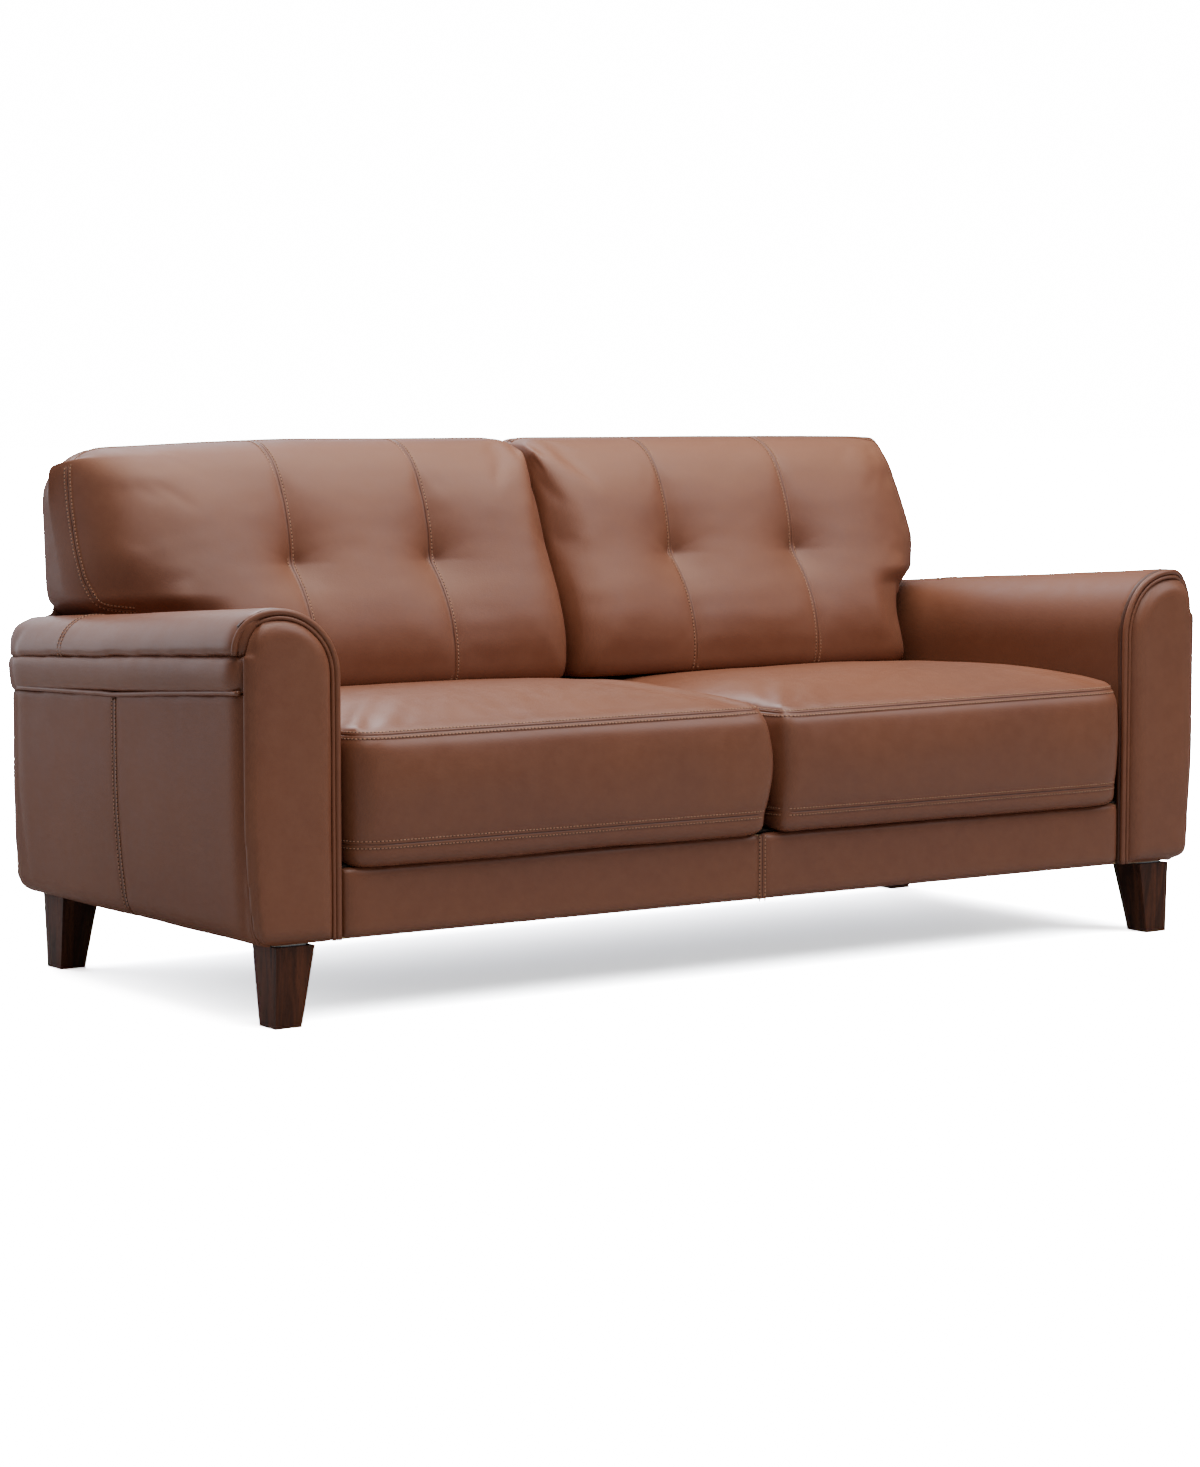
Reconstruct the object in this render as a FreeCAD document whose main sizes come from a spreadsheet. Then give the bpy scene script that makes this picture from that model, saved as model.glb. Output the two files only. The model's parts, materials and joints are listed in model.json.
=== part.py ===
"""Three-seat leather sofa on tapered wooden legs.

Millimetres, +Z up, +X along the seat, the front faces -Y. The origin is on the floor under the
middle of the sofa. Right means the +X side. Every right-hand piece is modelled, and the left-hand
one is its mirror image.
"""
import FreeCAD, Part
import math
import os

import Sketcher
from FreeCAD import Vector

DRIVING_SIZES = [
    # Overall
    ("overall_width", 2050, "over the arm caps"),
    ("overall_depth", 900, "front of the seat to the roll behind the back"),
    ("overall_height", 925, "floor to the top of the back"),
    ("leg_height", 131, "floor to the underside of the arms"),
    ("fit_gap", 0.3, "clearance round a piece that sits inside another"),
    ("soft_gap", 0.5, "clearance between padded pieces"),
    # Arms
    ("arm_width", 185, "across the cap"),
    ("arm_height", 673, "floor to the crown of the cap at its front end"),
    ("arm_drop", 48, "how far the crown falls from front to rear"),
    ("arm_inner_radius", 115, "roll of the cap towards the seat"),
    ("arm_front_inset", 24, "arm front behind the seat front"),
    ("arm_rear_inset", 20, "arm rear ahead of the roll behind the back"),
    ("facing_thickness", 20, "padded facing on the arm front"),
    ("welt_band", 14, "width of the double welt round the facing"),
    ("welt_rise", 2, "welt behind the front of the facing"),
    ("welt_bevel", 2.2, "flat between the crest and the side of each cord"),
    ("cap_lip", 76, "crown of the cap to the lower edge of its lip"),
    ("cap_padding", 22, "padding over the arm frame, on the crown and the inner side"),
    ("cap_foot_rise", 60, "seat rails to the lower end of the cap's inner side"),
    ("side_setback", 7, "outer side panels behind the cap's lip"),
    ("side_padding", 20, "thickness of the outer side panels"),
    ("side_bow_height", 400, "height where the side starts to draw in"),
    ("side_bow", 15, "how far the side draws in above its lower corner"),
    ("side_corner", 40, "lower corner of the side"),
    ("band_height", 60, "side band below the cap's lip"),
    ("band_swell", 3, "side band proud of the side panels"),
    ("band_radius", 8, "rounded edges of the side band"),
    ("side_seam", 41, "seam between the side panels, behind the middle"),
    ("cover_wrap", 3, "cover folded under the frame"),
    # Arm frames
    ("ply", 18, "plywood of the arm and ear frames"),
    ("hardboard", 3, "boards that carry the arm padding"),
    ("stock", 22, "thickness of the sawn arm stock"),
    ("post_width", 70, "width of an arm post"),
    ("post_top_drop", 106, "arm frame crown to the top of a post"),
    ("top_rail_width", 60, "flat rail under the cap"),
    ("top_rail_drop", 14, "arm frame crown to the top of the top rail"),
    ("window_width", 62, "opening in an arm frame"),
    ("window_height", 250, "opening in an arm frame"),
    ("window_sill", 240, "floor to the opening's lower edge"),
    ("window_corner", 20, "corner radius of the opening"),
    # Seat frame
    ("rail_thickness", 26, "front, back and cross rails"),
    ("rail_top", 245, "floor to the top of the seat rails"),
    ("front_rail_setback", 31, "front rail behind the arm facings"),
    ("back_rail_inset", 51, "back rail ahead of the arm's rear end"),
    ("tenon_thickness", 12, "all tenons"),
    ("tenon_shoulder", 12, "rail edge to tenon edge"),
    ("tenon_length", 18, "all tenons"),
    ("tenon_edge", 3, "rail tenon behind the front of its post"),
    ("stretcher_height", 80, "centre stretcher"),
    ("stretcher_drop", 15, "centre stretcher below the rail tops"),
    ("corner_leg", 60, "legs of a corner block's triangle"),
    ("corner_height", 70, "corner block"),
    ("corner_toe", 9, "blunt end of a corner block"),
    # Legs
    ("leg_width", 71, "across the top of a leg"),
    ("leg_depth", 77, "front to back at the top of a leg"),
    ("foot_width", 48, "across the foot of a leg"),
    ("foot_depth", 52, "front to back at the foot of a leg"),
    ("leg_side_inset", 65, "outer face of a leg inside the cap's lip"),
    ("leg_front_inset", 15, "front leg behind the arm facing"),
    ("leg_rear_inset", 18, "rear leg ahead of the arm's rear end"),
    ("front_leg_taper", 4, "draw of a front leg's front face"),
    ("rear_leg_taper", 12, "draw of a rear leg's rear face"),
    ("bolt_radius", 4, "hanger bolts"),
    ("bolt_in_leg", 42, "hanger bolt below the top of the leg"),
    ("bolt_top_cover", 2, "end of a hanger bolt to the top of the foot rail"),
    ("bolt_clearance", 0.2, "radial clearance round the hanger bolts"),
    ("plate_size", 60, "leg plate"),
    ("plate_corner", 8, "bevelled corner of a leg plate"),
    ("leg_block_height", 40, "block on the foot rail over a leg"),
    ("leg_block_depth", 60, "block on the foot rail over a leg"),
    # Suspension
    ("strap_width", 60, "elastic webbing"),
    ("strap_thickness", 1.6, "elastic webbing"),
    ("weave_gap", 0.3, "between crossing straps"),
    ("strap_lap", 3, "strap ends inside the outer edge of a rail"),
    ("deck_pad_thickness", 3, "felt over the seat webbing"),
    # Seat cushions
    ("seat_height", 507, "floor to the front crown of the seat"),
    ("seat_thickness", 255, "seat cushion"),
    ("seat_fall", 24, "how far the seat's top falls to its rear end"),
    ("seat_rear", 300, "rear end of the seat cushions, behind the middle"),
    ("seat_top_radius", 45, "upper front edge"),
    ("seat_low_radius", 32, "lower front edge"),
    ("seat_mouth_inset", 28, "outer side of a seat cushion to the mouth under its cover"),
    ("split_gap", 7, "between the two seat cushions and between the back cushions"),
    ("seat_cover", 8, "leather and wadding over the seat foam"),
    ("rail_cover_thickness", 20, "padded cover of the front rail"),
    ("rail_cover_top", 249.5, "floor to the top of the front rail cover"),
    ("rail_cover_inset", 2, "ends of the front rail cover short of the arms"),
    ("rail_cover_radius", 9, "rounded edges of the front rail cover"),
    # Back
    ("back_foot", 145, "front of the back cushion on the seat, behind the middle"),
    ("back_crown", 303, "front of the back cushion's top, behind the middle"),
    ("ear_inset", 80, "side of the back inside the cap's lip"),
    ("ear_wrap", 188, "front of an ear that curves back towards its side"),
    ("ear_wrap_depth", 100, "how far the front of an ear curves back"),
    ("ear_top_corner", 70, "upper outer corner of an ear"),
    ("ear_low_corner", 30, "lower outer corner of an ear"),
    ("back_side_radius", 90, "front corner of the back beside the arm"),
    ("back_foot_radius", 30, "lower front edge"),
    ("back_crown_radius", 48, "upper front edge"),
    ("back_roll_radius", 38, "upper rear edge"),
    ("back_cover", 6, "leather and wadding over the back fibre"),
    ("roll_lip", 63, "top of the back to the lower edge of the rear roll"),
    ("back_panel_thickness", 8, "outside back panel"),
    ("back_panel_edge", 6, "outside back panel inside the arm sides"),
    ("post_thickness", 30, "back posts and back top rail"),
    ("outer_post_inset", 25, "middle of an outer back post inside the arm"),
    ("top_rail_height", 50, "back top rail"),
    ("top_rail_cover", 35, "top of the back to the back top rail"),
    ("top_rail_inset", 27, "end of the back top rail inside the side of the back"),
    ("top_rail_corner", 45, "upper corner cut off each end of the back top rail"),
    ("mid_rail_height", 45, "back mid rail"),
    ("mid_rail_at", 300, "floor to the lower edge of the back mid rail"),
    ("mid_rail_thickness", 20, "back mid rail"),
    ("ear_frame_drop", 13, "crown of the cap to the lower edge of an ear frame"),
    ("ear_frame_corner", 45, "rounded lower corner of an ear frame"),
    ("back_strap_width", 50, "back webbing"),
    ("dust_cover_thickness", 1, "cloth under the frame"),
]
SEAT_STRAPS = 10
CROSS_STRAPS = 4
BACK_STRAPS = 8
BACK_CROSS_STRAPS = 3

# Places, worked out from the driving sizes
HALF_WIDTH = "(Sizes.overall_width / 2)"
FRONT = "(-Sizes.overall_depth / 2)"
REAR = "(Sizes.overall_depth / 2)"
ARM_INNER = f"({HALF_WIDTH} - Sizes.arm_width)"
ARM_CROWN = f"({ARM_INNER} + Sizes.arm_inner_radius)"
SIDE = f"({HALF_WIDTH} - Sizes.side_setback)"
FACING_FRONT = f"({FRONT} + Sizes.arm_front_inset)"
CAP_FRONT = f"({FACING_FRONT} + Sizes.facing_thickness)"
ARM_REAR = f"({REAR} - Sizes.arm_rear_inset)"
ARM_SLOPE = f"(Sizes.arm_drop / ({ARM_REAR} - {CAP_FRONT}))"
FRAME_BOTTOM = "(Sizes.leg_height + Sizes.cover_wrap)"
BOARD_INNER = f"({ARM_INNER} + Sizes.cap_padding)"
FRAME_INNER = f"({BOARD_INNER} + Sizes.hardboard)"
FRAME_OUTER = f"({SIDE} - Sizes.side_padding - Sizes.hardboard)"
FRAME_CROWN = "(Sizes.arm_height - Sizes.cap_padding)"
POST_FRONT = f"({CAP_FRONT} + Sizes.ply)"
POST_REAR = f"({ARM_REAR} - Sizes.ply)"
FRONT_RAIL_FACE = f"({FACING_FRONT} + Sizes.front_rail_setback)"
BACK_RAIL_REAR = f"({ARM_REAR} - Sizes.back_rail_inset)"
DECK = "(Sizes.rail_top + 2 * Sizes.strap_thickness + Sizes.weave_gap + Sizes.fit_gap)"
SEAT_BOTTOM = "(Sizes.seat_height - Sizes.seat_thickness)"
SEAT_FLAT = f"({FRONT} + Sizes.seat_top_radius)"
SEAT_SIDE = f"({ARM_INNER} - Sizes.soft_gap)"
SPLIT = "(Sizes.split_gap / 2)"
POST_FACE = f"({ARM_REAR} - Sizes.post_thickness)"
EAR_REACH = f"({HALF_WIDTH} - Sizes.ear_inset)"
OUTER_POST = f"({ARM_INNER} - Sizes.outer_post_inset)"
TOP_RAIL_REACH = f"({EAR_REACH} - Sizes.top_rail_inset)"
STRAP_FACE = f"({POST_FACE} - 2 * Sizes.strap_thickness - Sizes.weave_gap)"
TOP_RAIL_TOP = "(Sizes.overall_height - Sizes.top_rail_cover)"
TOP_RAIL_FOOT = f"({TOP_RAIL_TOP} - Sizes.top_rail_height)"
LEG_OUTER = f"({HALF_WIDTH} - Sizes.leg_side_inset)"
LEG_MIDDLE = f"({LEG_OUTER} - Sizes.leg_width / 2)"
FRONT_LEG_FACE = f"({FACING_FRONT} + Sizes.leg_front_inset)"
REAR_LEG_FACE = f"({ARM_REAR} - Sizes.leg_rear_inset)"
FRONT_LEG_MIDDLE = f"({FRONT_LEG_FACE} + Sizes.leg_depth / 2)"
REAR_LEG_MIDDLE = f"({REAR_LEG_FACE} - Sizes.leg_depth / 2)"
BORE_RADIUS = "(Sizes.bolt_radius + Sizes.bolt_clearance)"

doc = FreeCAD.newDocument("Sofa")
sizes = doc.addObject("Spreadsheet::Sheet", "Sizes")
for row, (alias, size, meaning) in enumerate(DRIVING_SIZES, start=1):
    sizes.set(f"A{row}", alias)
    sizes.set(f"B{row}", str(size))
    sizes.set(f"C{row}", meaning)
    sizes.setAlias(f"B{row}", alias)
doc.recompute()

sub_parts = []


def number(expression):
    """The value of an expression over the sheet."""
    return float(sizes.evalExpression(str(expression)))


def keep(piece, node):
    """List a finished piece under its node name."""
    piece.Label = node
    sub_parts.append(piece)
    return piece


def mirror(piece, node):
    """The left-hand twin of a right-hand piece."""
    twin = doc.addObject("Part::Mirroring", node)
    twin.Source = piece
    twin.Normal = Vector(1, 0, 0)
    return keep(twin, node)


def pair(piece, name):
    """List a right-hand piece and its left-hand twin."""
    keep(piece, f"right_{name}")
    mirror(piece, f"left_{name}")


def new_body(name):
    return doc.addObject("PartDesign::Body", name)


def sketch_on(body, role, height="0"):
    """A sketch on one of the body's origin planes, moved along the plane's normal."""
    sketch = body.newObject("Sketcher::SketchObject", f"{body.Name}_sketch")
    plane = next(item for item in body.Origin.OriginFeatures if item.Role == role)
    sketch.AttachmentSupport = [(plane, "")]
    sketch.MapMode = "FlatFace"
    sketch.setExpression("AttachmentOffset.Base.z", height)
    return sketch


def tilt(sketch, slope):
    """Turn a sketch about its level axis, so that it stands square to a slope."""
    sketch.setExpression("AttachmentOffset.Rotation.Axis.x", "-1")
    sketch.setExpression("AttachmentOffset.Rotation.Axis.z", "0")
    sketch.setExpression("AttachmentOffset.Rotation.Angle", f"atan({slope})")


def tie(sketch, kind, *target, size):
    """A dimension whose value is an expression over the sheet."""
    index = sketch.addConstraint(Sketcher.Constraint(kind, *target, number(size)))
    sketch.setExpression(f"Constraints[{index}]", size)


def draw_outline(sketch, corners, closed=True):
    """Draw through corners of (across, up) expressions, and back to the first if closed.

    A corner of (across, up, radius, turn) starts an arc that turns left (+1) or right (-1).
    """
    first = sketch.GeometryCount
    spots = [Vector(number(corner[0]), number(corner[1]), 0) for corner in corners]
    ends = []
    for index, corner in enumerate(corners if closed else corners[:-1]):
        start = spots[index]
        end = spots[(index + 1) % len(corners)]
        if len(corner) == 2:
            sketch.addGeometry(Part.LineSegment(start, end))
            ends.append((1, 2))
            continue
        radius = number(corner[2])
        chord = end - start
        left = Vector(-chord.y, chord.x, 0).normalize() * corner[3]
        centre = (start + end) / 2 + left * math.sqrt(max(radius**2 - chord.Length**2 / 4, 0))
        low, high = (start, end) if corner[3] > 0 else (end, start)
        angles = [math.atan2(spot.y - centre.y, spot.x - centre.x) for spot in (low, high)]
        circle = Part.Circle(centre, Vector(0, 0, 1), radius)
        sketch.addGeometry(Part.ArcOfCircle(circle, angles[0], angles[1]))
        ends.append((1, 2) if corner[3] > 0 else (2, 1))
        tie(sketch, "Radius", first + index, size=corner[2])
    for index, corner in enumerate(corners):
        if index < len(ends):
            place = (first + index, ends[index][0])
        else:
            place = (first + index - 1, ends[-1][1])
        if index < len(ends) and (closed or index > 0):
            before = (index - 1) % len(corners)
            joint = (first + before, ends[before][1], *place)
            sketch.addConstraint(Sketcher.Constraint("Coincident", *joint))
        tie(sketch, "DistanceX", -1, 1, *place, size=corner[0])
        tie(sketch, "DistanceY", -1, 1, *place, size=corner[1])


def draw_circle(sketch, across, up, radius):
    edge = sketch.GeometryCount
    centre = Vector(number(across), number(up), 0)
    sketch.addGeometry(Part.Circle(centre, Vector(0, 0, 1), number(radius)))
    tie(sketch, "Radius", edge, size=radius)
    tie(sketch, "DistanceX", -1, 1, edge, 3, size=across)
    tie(sketch, "DistanceY", -1, 1, edge, 3, size=up)


def rectangle(low_across, low_up, high_across, high_up):
    return [
        (low_across, low_up),
        (high_across, low_up),
        (high_across, high_up),
        (low_across, high_up),
    ]


def pad_along_y(body, sketch, length, slope="0"):
    """Extrude an XZ sketch towards +Y, falling by slope."""
    pad = body.newObject("PartDesign::Pad", f"{body.Name}_pad")
    pad.Profile = sketch
    pad.UseCustomVector = True
    pad.AlongSketchNormal = True
    pad.Direction = Vector(0, 1, 0)
    pad.setExpression("Direction.z", f"-{slope}")
    pad.setExpression("Length", length)
    return pad


def pad_up(body, sketch, length):
    """Extrude a sketch along its own normal: +Z from XY, +X from YZ."""
    pad = body.newObject("PartDesign::Pad", f"{body.Name}_pad")
    pad.Profile = sketch
    pad.setExpression("Length", length)
    return pad


def cut_through(body, sketch):
    """Remove what lies over and under a sketch."""
    pocket = body.newObject("PartDesign::Pocket", f"{body.Name}_cut")
    pocket.Profile = sketch
    pocket.Type = "ThroughAll"
    pocket.Midplane = True
    return pocket


def round_edges(body, radius, chosen):
    """Fillet the chosen edges of the body's tip."""
    doc.recompute()
    base = body.Tip
    names = [f"Edge{index}" for index, edge in enumerate(base.Shape.Edges, start=1) if chosen(edge)]
    fillet = body.newObject("PartDesign::Fillet", f"{body.Name}_fillet")
    fillet.Base = (base, names)
    fillet.setExpression("Radius", radius)
    return fillet


def block(name, across, along, up):
    """A box between pairs of (low, high) expressions in X, Y and Z."""
    box = doc.addObject("Part::Box", name)
    spans = zip(("Length", "Width", "Height"), "xyz", (across, along, up))
    for side, axis, (low, high) in spans:
        box.setExpression(side, f"({high}) - ({low})")
        box.setExpression(f".Placement.Base.{axis}", low)
    return box


def cut(name, base, tool):
    result = doc.addObject("Part::Cut", name)
    result.Base = base
    result.Tool = tool
    return result


def fuse(name, pieces):
    result = doc.addObject("Part::MultiFuse", name)
    result.Shapes = pieces
    return result


def overlap(name, pieces):
    """What the pieces have in common."""
    result = doc.addObject("Part::MultiCommon", name)
    result.Shapes = pieces
    return result


def group(name, pieces):
    """Separate solids that share a node."""
    result = doc.addObject("Part::Compound", name)
    result.Links = pieces
    return result


def fallen(height, along):
    """A height that follows the fall of the arm towards the rear."""
    return f"({height} - {ARM_SLOPE} * ({along} - {CAP_FRONT}))"


def seat_top(along):
    """Height of the seat cushion's top."""
    return (
        f"(Sizes.seat_height - Sizes.seat_fall"
        f" * (({along} - {SEAT_FLAT}) / (Sizes.seat_rear - {SEAT_FLAT}))^2)"
    )


# Arm outlines, seen from the front, from the inner lower corner over the crown to the outside
LIP = "(Sizes.arm_height - Sizes.cap_lip)"
BAND_FOOT = f"({LIP} - Sizes.band_height)"
DRAWN_SIDE = f"({SIDE} - Sizes.side_bow)"
CORNER_TOP = "(Sizes.leg_height + Sizes.side_corner)"
BOW_RADIUS = (
    f"((Sizes.side_bow^2 + (Sizes.side_bow_height - {CORNER_TOP})^2) / (2 * Sizes.side_bow))"
)


def arch(inset, foot):
    """The arm's rolled top, inset all round, as the start of a clockwise outline."""
    inner = f"({ARM_INNER} + {inset})"
    outer = f"({HALF_WIDTH} - {inset})"
    crown = f"(Sizes.arm_height - {inset})"
    return [
        (inner, foot),
        (inner, f"{crown} - ({ARM_CROWN} - {inner})", f"{ARM_CROWN} - {inner}", -1),
        (ARM_CROWN, crown, f"{outer} - {ARM_CROWN}", -1),
        (outer, f"{crown} - ({outer} - {ARM_CROWN})"),
    ]


def side_edge(inset="0"):
    """The outer side below the band: upright, then drawn in to a rounded lower corner."""
    return [
        (f"{SIDE} - {inset}", "Sizes.side_bow_height", BOW_RADIUS, -1),
        (f"{DRAWN_SIDE} - {inset}", CORNER_TOP, "Sizes.side_corner", -1),
        (f"{DRAWN_SIDE} - {inset} - Sizes.side_corner", "Sizes.leg_height"),
    ]


def make_facing():
    """Padded leather facing on the arm's front."""
    body = new_body("facing")
    sketch = sketch_on(body, "XZ_Plane", f"-{FACING_FRONT}")
    outline = arch("Sizes.welt_band", "Sizes.leg_height")
    outline += [(f"{HALF_WIDTH} - Sizes.welt_band", LIP), (SIDE, LIP)]
    outline += side_edge()
    draw_outline(sketch, outline)
    pad_along_y(body, sketch, "Sizes.facing_thickness")
    pair(body, "arm_facing")


def welt_section(across_from, across_to):
    """Two cords side by side, flattened on all sides, as an outline of (across, along) corners."""
    crest = f"({FACING_FRONT} + Sizes.welt_rise)"
    shoulder = f"({crest} + Sizes.welt_bevel)"
    valley = f"({across_from} + {across_to}) / 2"
    return [
        (across_to, CAP_FRONT),
        (across_from, CAP_FRONT),
        (across_from, shoulder),
        (f"{across_from} + Sizes.welt_bevel", crest),
        (f"{valley} - Sizes.welt_bevel", crest),
        (valley, shoulder),
        (f"{valley} + Sizes.welt_bevel", crest),
        (f"{across_to} - Sizes.welt_bevel", crest),
        (across_to, shoulder),
    ]


def make_welt():
    """Double piping round the facing: up the inner side, over both arcs of the arch, to the lip."""
    body = new_body("welt")
    width = "(Sizes.welt_band - Sizes.fit_gap)"
    inner_springing = "(Sizes.arm_height - Sizes.arm_inner_radius)"
    outer_radius = f"({HALF_WIDTH} - {ARM_CROWN})"
    outer_springing = f"(Sizes.arm_height - {outer_radius})"
    upright = sketch_on(body, "XY_Plane", "Sizes.leg_height")
    draw_outline(upright, welt_section(ARM_INNER, f"({ARM_INNER} + {width})"))
    pad_up(body, upright, f"{inner_springing} - Sizes.leg_height")
    turns = (
        ("inner", inner_springing, f"({ARM_CROWN} - {ARM_INNER})", -1),
        ("outer", outer_springing, outer_radius, 1),
    )
    for name, height, radius, way in turns:
        level = sketch_on(body, "XY_Plane", height)
        start = f"({ARM_CROWN} + {way} * {radius})"
        end = f"({start} - {way} * {width})"
        section = welt_section(*((start, end) if way < 0 else (end, start)))
        draw_outline(level, section)
        axis = level.addGeometry(
            Part.LineSegment(
                Vector(number(ARM_CROWN), number(FRONT), 0), Vector(number(ARM_CROWN), 0, 0)
            ),
            True,
        )
        tie(level, "DistanceX", -1, 1, axis, 1, size=ARM_CROWN)
        tie(level, "DistanceY", -1, 1, axis, 1, size=FRONT)
        tie(level, "DistanceX", -1, 1, axis, 2, size=ARM_CROWN)
        tie(level, "DistanceY", -1, 1, axis, 2, size="0")
        turn = body.newObject("PartDesign::Revolution", f"welt_{name}_turn")
        turn.Profile = level
        turn.ReferenceAxis = (level, ["Axis0"])
        turn.Angle = 90
        turn.Reversed = way > 0
    tail = sketch_on(body, "XY_Plane", LIP)
    draw_outline(tail, welt_section(f"({HALF_WIDTH} - {width})", HALF_WIDTH))
    pad_up(body, tail, f"{outer_springing} - {LIP}")
    pair(body, "arm_welt")


def make_cap():
    """Padded cover over the arm's top and down its inner side, falling to the rear."""
    body = new_body("cap")
    sketch = sketch_on(body, "XZ_Plane", f"-{CAP_FRONT}")
    foot = "Sizes.rail_top + Sizes.cap_foot_rise"
    inner = f"({BOARD_INNER} - Sizes.fit_gap)"
    outer = f"({FRAME_OUTER} + Sizes.fit_gap)"
    crown = f"({FRAME_CROWN} + Sizes.fit_gap)"
    outline = arch("0", foot)
    outline += [
        (HALF_WIDTH, LIP),
        (outer, LIP),
        (outer, f"{crown} - ({outer} - {ARM_CROWN})", f"{outer} - {ARM_CROWN}", 1),
        (ARM_CROWN, crown, f"{ARM_CROWN} - {inner}", 1),
        (inner, f"{crown} - ({ARM_CROWN} - {inner})"),
        (inner, foot),
    ]
    draw_outline(sketch, outline)
    pad_along_y(body, sketch, f"{ARM_REAR} - {CAP_FRONT}", ARM_SLOPE)
    pair(body, "arm_cap")


def make_side_band():
    """Stuffed band between the cap's lip and the side panels."""
    body = new_body("side_band")
    sketch = sketch_on(body, "XZ_Plane", f"-{CAP_FRONT}")
    draw_outline(
        sketch,
        rectangle(
            f"{SIDE} - Sizes.side_padding", BAND_FOOT, f"{SIDE} + Sizes.band_swell", LIP
        ),
    )
    pad_along_y(body, sketch, f"{ARM_REAR} - {CAP_FRONT}", ARM_SLOPE)
    swell = number(f"{SIDE} + Sizes.band_swell")
    round_edges(
        body,
        "Sizes.band_radius",
        lambda edge: abs(edge.CenterOfMass.x - swell) < 0.01
        and edge.BoundBox.YLength > number("2 * Sizes.band_height"),
    )
    pair(body, "arm_side_band")


def make_side_panel(name, front, rear):
    """Padded outer side panel, upright above and drawn in below."""
    body = new_body(name)
    sketch = sketch_on(body, "XZ_Plane", f"-{front}")
    padding = "Sizes.side_padding"
    outline = [(f"{SIDE} - {padding}", BAND_FOOT), (SIDE, BAND_FOOT)]
    outline += side_edge()
    outline += [
        (f"{DRAWN_SIDE} - Sizes.side_corner", FRAME_BOTTOM),
        (f"{DRAWN_SIDE} - {padding}", CORNER_TOP),
        (f"{SIDE} - {padding}", "Sizes.side_bow_height"),
    ]
    draw_outline(sketch, outline)
    pad_along_y(body, sketch, f"{rear} - {front}")
    slope = sketch_on(body, "YZ_Plane", SIDE)
    draw_outline(
        slope,
        [
            (front, fallen(BAND_FOOT, front)),
            (rear, fallen(BAND_FOOT, rear)),
            (rear, f"{BAND_FOOT} + Sizes.band_height"),
            (front, f"{BAND_FOOT} + Sizes.band_height"),
        ],
    )
    cut_through(body, slope)
    pair(body, name)


def make_rail_cover():
    """Half of the padded front rail cover; the halves meet in a seam at the middle."""
    body = new_body("rail_cover")
    sketch = sketch_on(body, "YZ_Plane", "Sizes.fit_gap / 2")
    face = f"({FRONT_RAIL_FACE} - Sizes.rail_cover_thickness)"
    draw_outline(
        sketch, rectangle(face, FRAME_BOTTOM, FRONT_RAIL_FACE, "Sizes.rail_cover_top")
    )
    pad_up(body, sketch, f"{ARM_INNER} - Sizes.rail_cover_inset - Sizes.fit_gap / 2")
    front = number(face)
    round_edges(
        body,
        "Sizes.rail_cover_radius",
        lambda edge: abs(edge.CenterOfMass.y - front) < 0.01
        and edge.BoundBox.XLength > number("Sizes.rail_cover_top"),
    )
    pair(body, "rail_cover")


# Arm frame


def frame_outline():
    """Outline of an arched plywood arm frame."""
    inner_radius = f"({ARM_CROWN} - {FRAME_INNER})"
    outer_radius = f"({FRAME_OUTER} - {ARM_CROWN})"
    back_off = "(Sizes.side_padding + Sizes.hardboard)"
    return [
        (FRAME_INNER, FRAME_BOTTOM),
        (FRAME_INNER, f"{FRAME_CROWN} - {inner_radius}", inner_radius, -1),
        (ARM_CROWN, FRAME_CROWN, outer_radius, -1),
        (FRAME_OUTER, f"{FRAME_CROWN} - {outer_radius}"),
        (FRAME_OUTER, "Sizes.side_bow_height"),
        (f"{DRAWN_SIDE} - {back_off}", CORNER_TOP),
        (f"{DRAWN_SIDE} - Sizes.side_corner - Sizes.hardboard", FRAME_BOTTOM),
    ]


def window_outline():
    """Rounded opening that lightens an arm frame."""
    left = f"(({FRAME_INNER} + {FRAME_OUTER} - Sizes.window_width) / 2)"
    right = f"({left} + Sizes.window_width)"
    low = "Sizes.window_sill"
    high = "(Sizes.window_sill + Sizes.window_height)"
    radius = "Sizes.window_corner"
    return [
        (f"{left} + {radius}", low),
        (f"{right} - {radius}", low, radius, 1),
        (right, f"{low} + {radius}"),
        (right, f"{high} - {radius}", radius, 1),
        (f"{right} - {radius}", high),
        (f"{left} + {radius}", high, radius, 1),
        (left, f"{high} - {radius}"),
        (left, f"{low} + {radius}", radius, 1),
    ]


def make_arm_frame(name, front):
    """Arched plywood end of the arm, low enough for the arm's fall at its rear face."""
    body = new_body(name)
    sketch = sketch_on(body, "XZ_Plane", f"-{front}")
    fall = f"({ARM_SLOPE} * ({front} + Sizes.ply - {CAP_FRONT}))"
    outline = frame_outline()
    for index in (1, 2, 3):
        across, up, *arc = outline[index]
        outline[index] = (across, f"{up} - {fall}", *arc)
    draw_outline(sketch, outline)
    draw_outline(sketch, window_outline())
    pad_along_y(body, sketch, "Sizes.ply")
    pair(body, name)


def tenon(name, across, along, up):
    """A tenon between pairs of expressions, and the mortise that clears it."""
    gap = "Sizes.fit_gap"
    tongue = block(f"{name}_tenon", across, along, up)
    spans = [(f"{low} - {gap}", f"{high} + {gap}") for low, high in (across, along, up)]
    return tongue, block(f"{name}_mortise", *spans)


def rail_tenon_span(low, high):
    """The height of a tenon between a rail's edges."""
    return (f"{low} + Sizes.tenon_shoulder", f"{high} - Sizes.tenon_shoulder")


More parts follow.
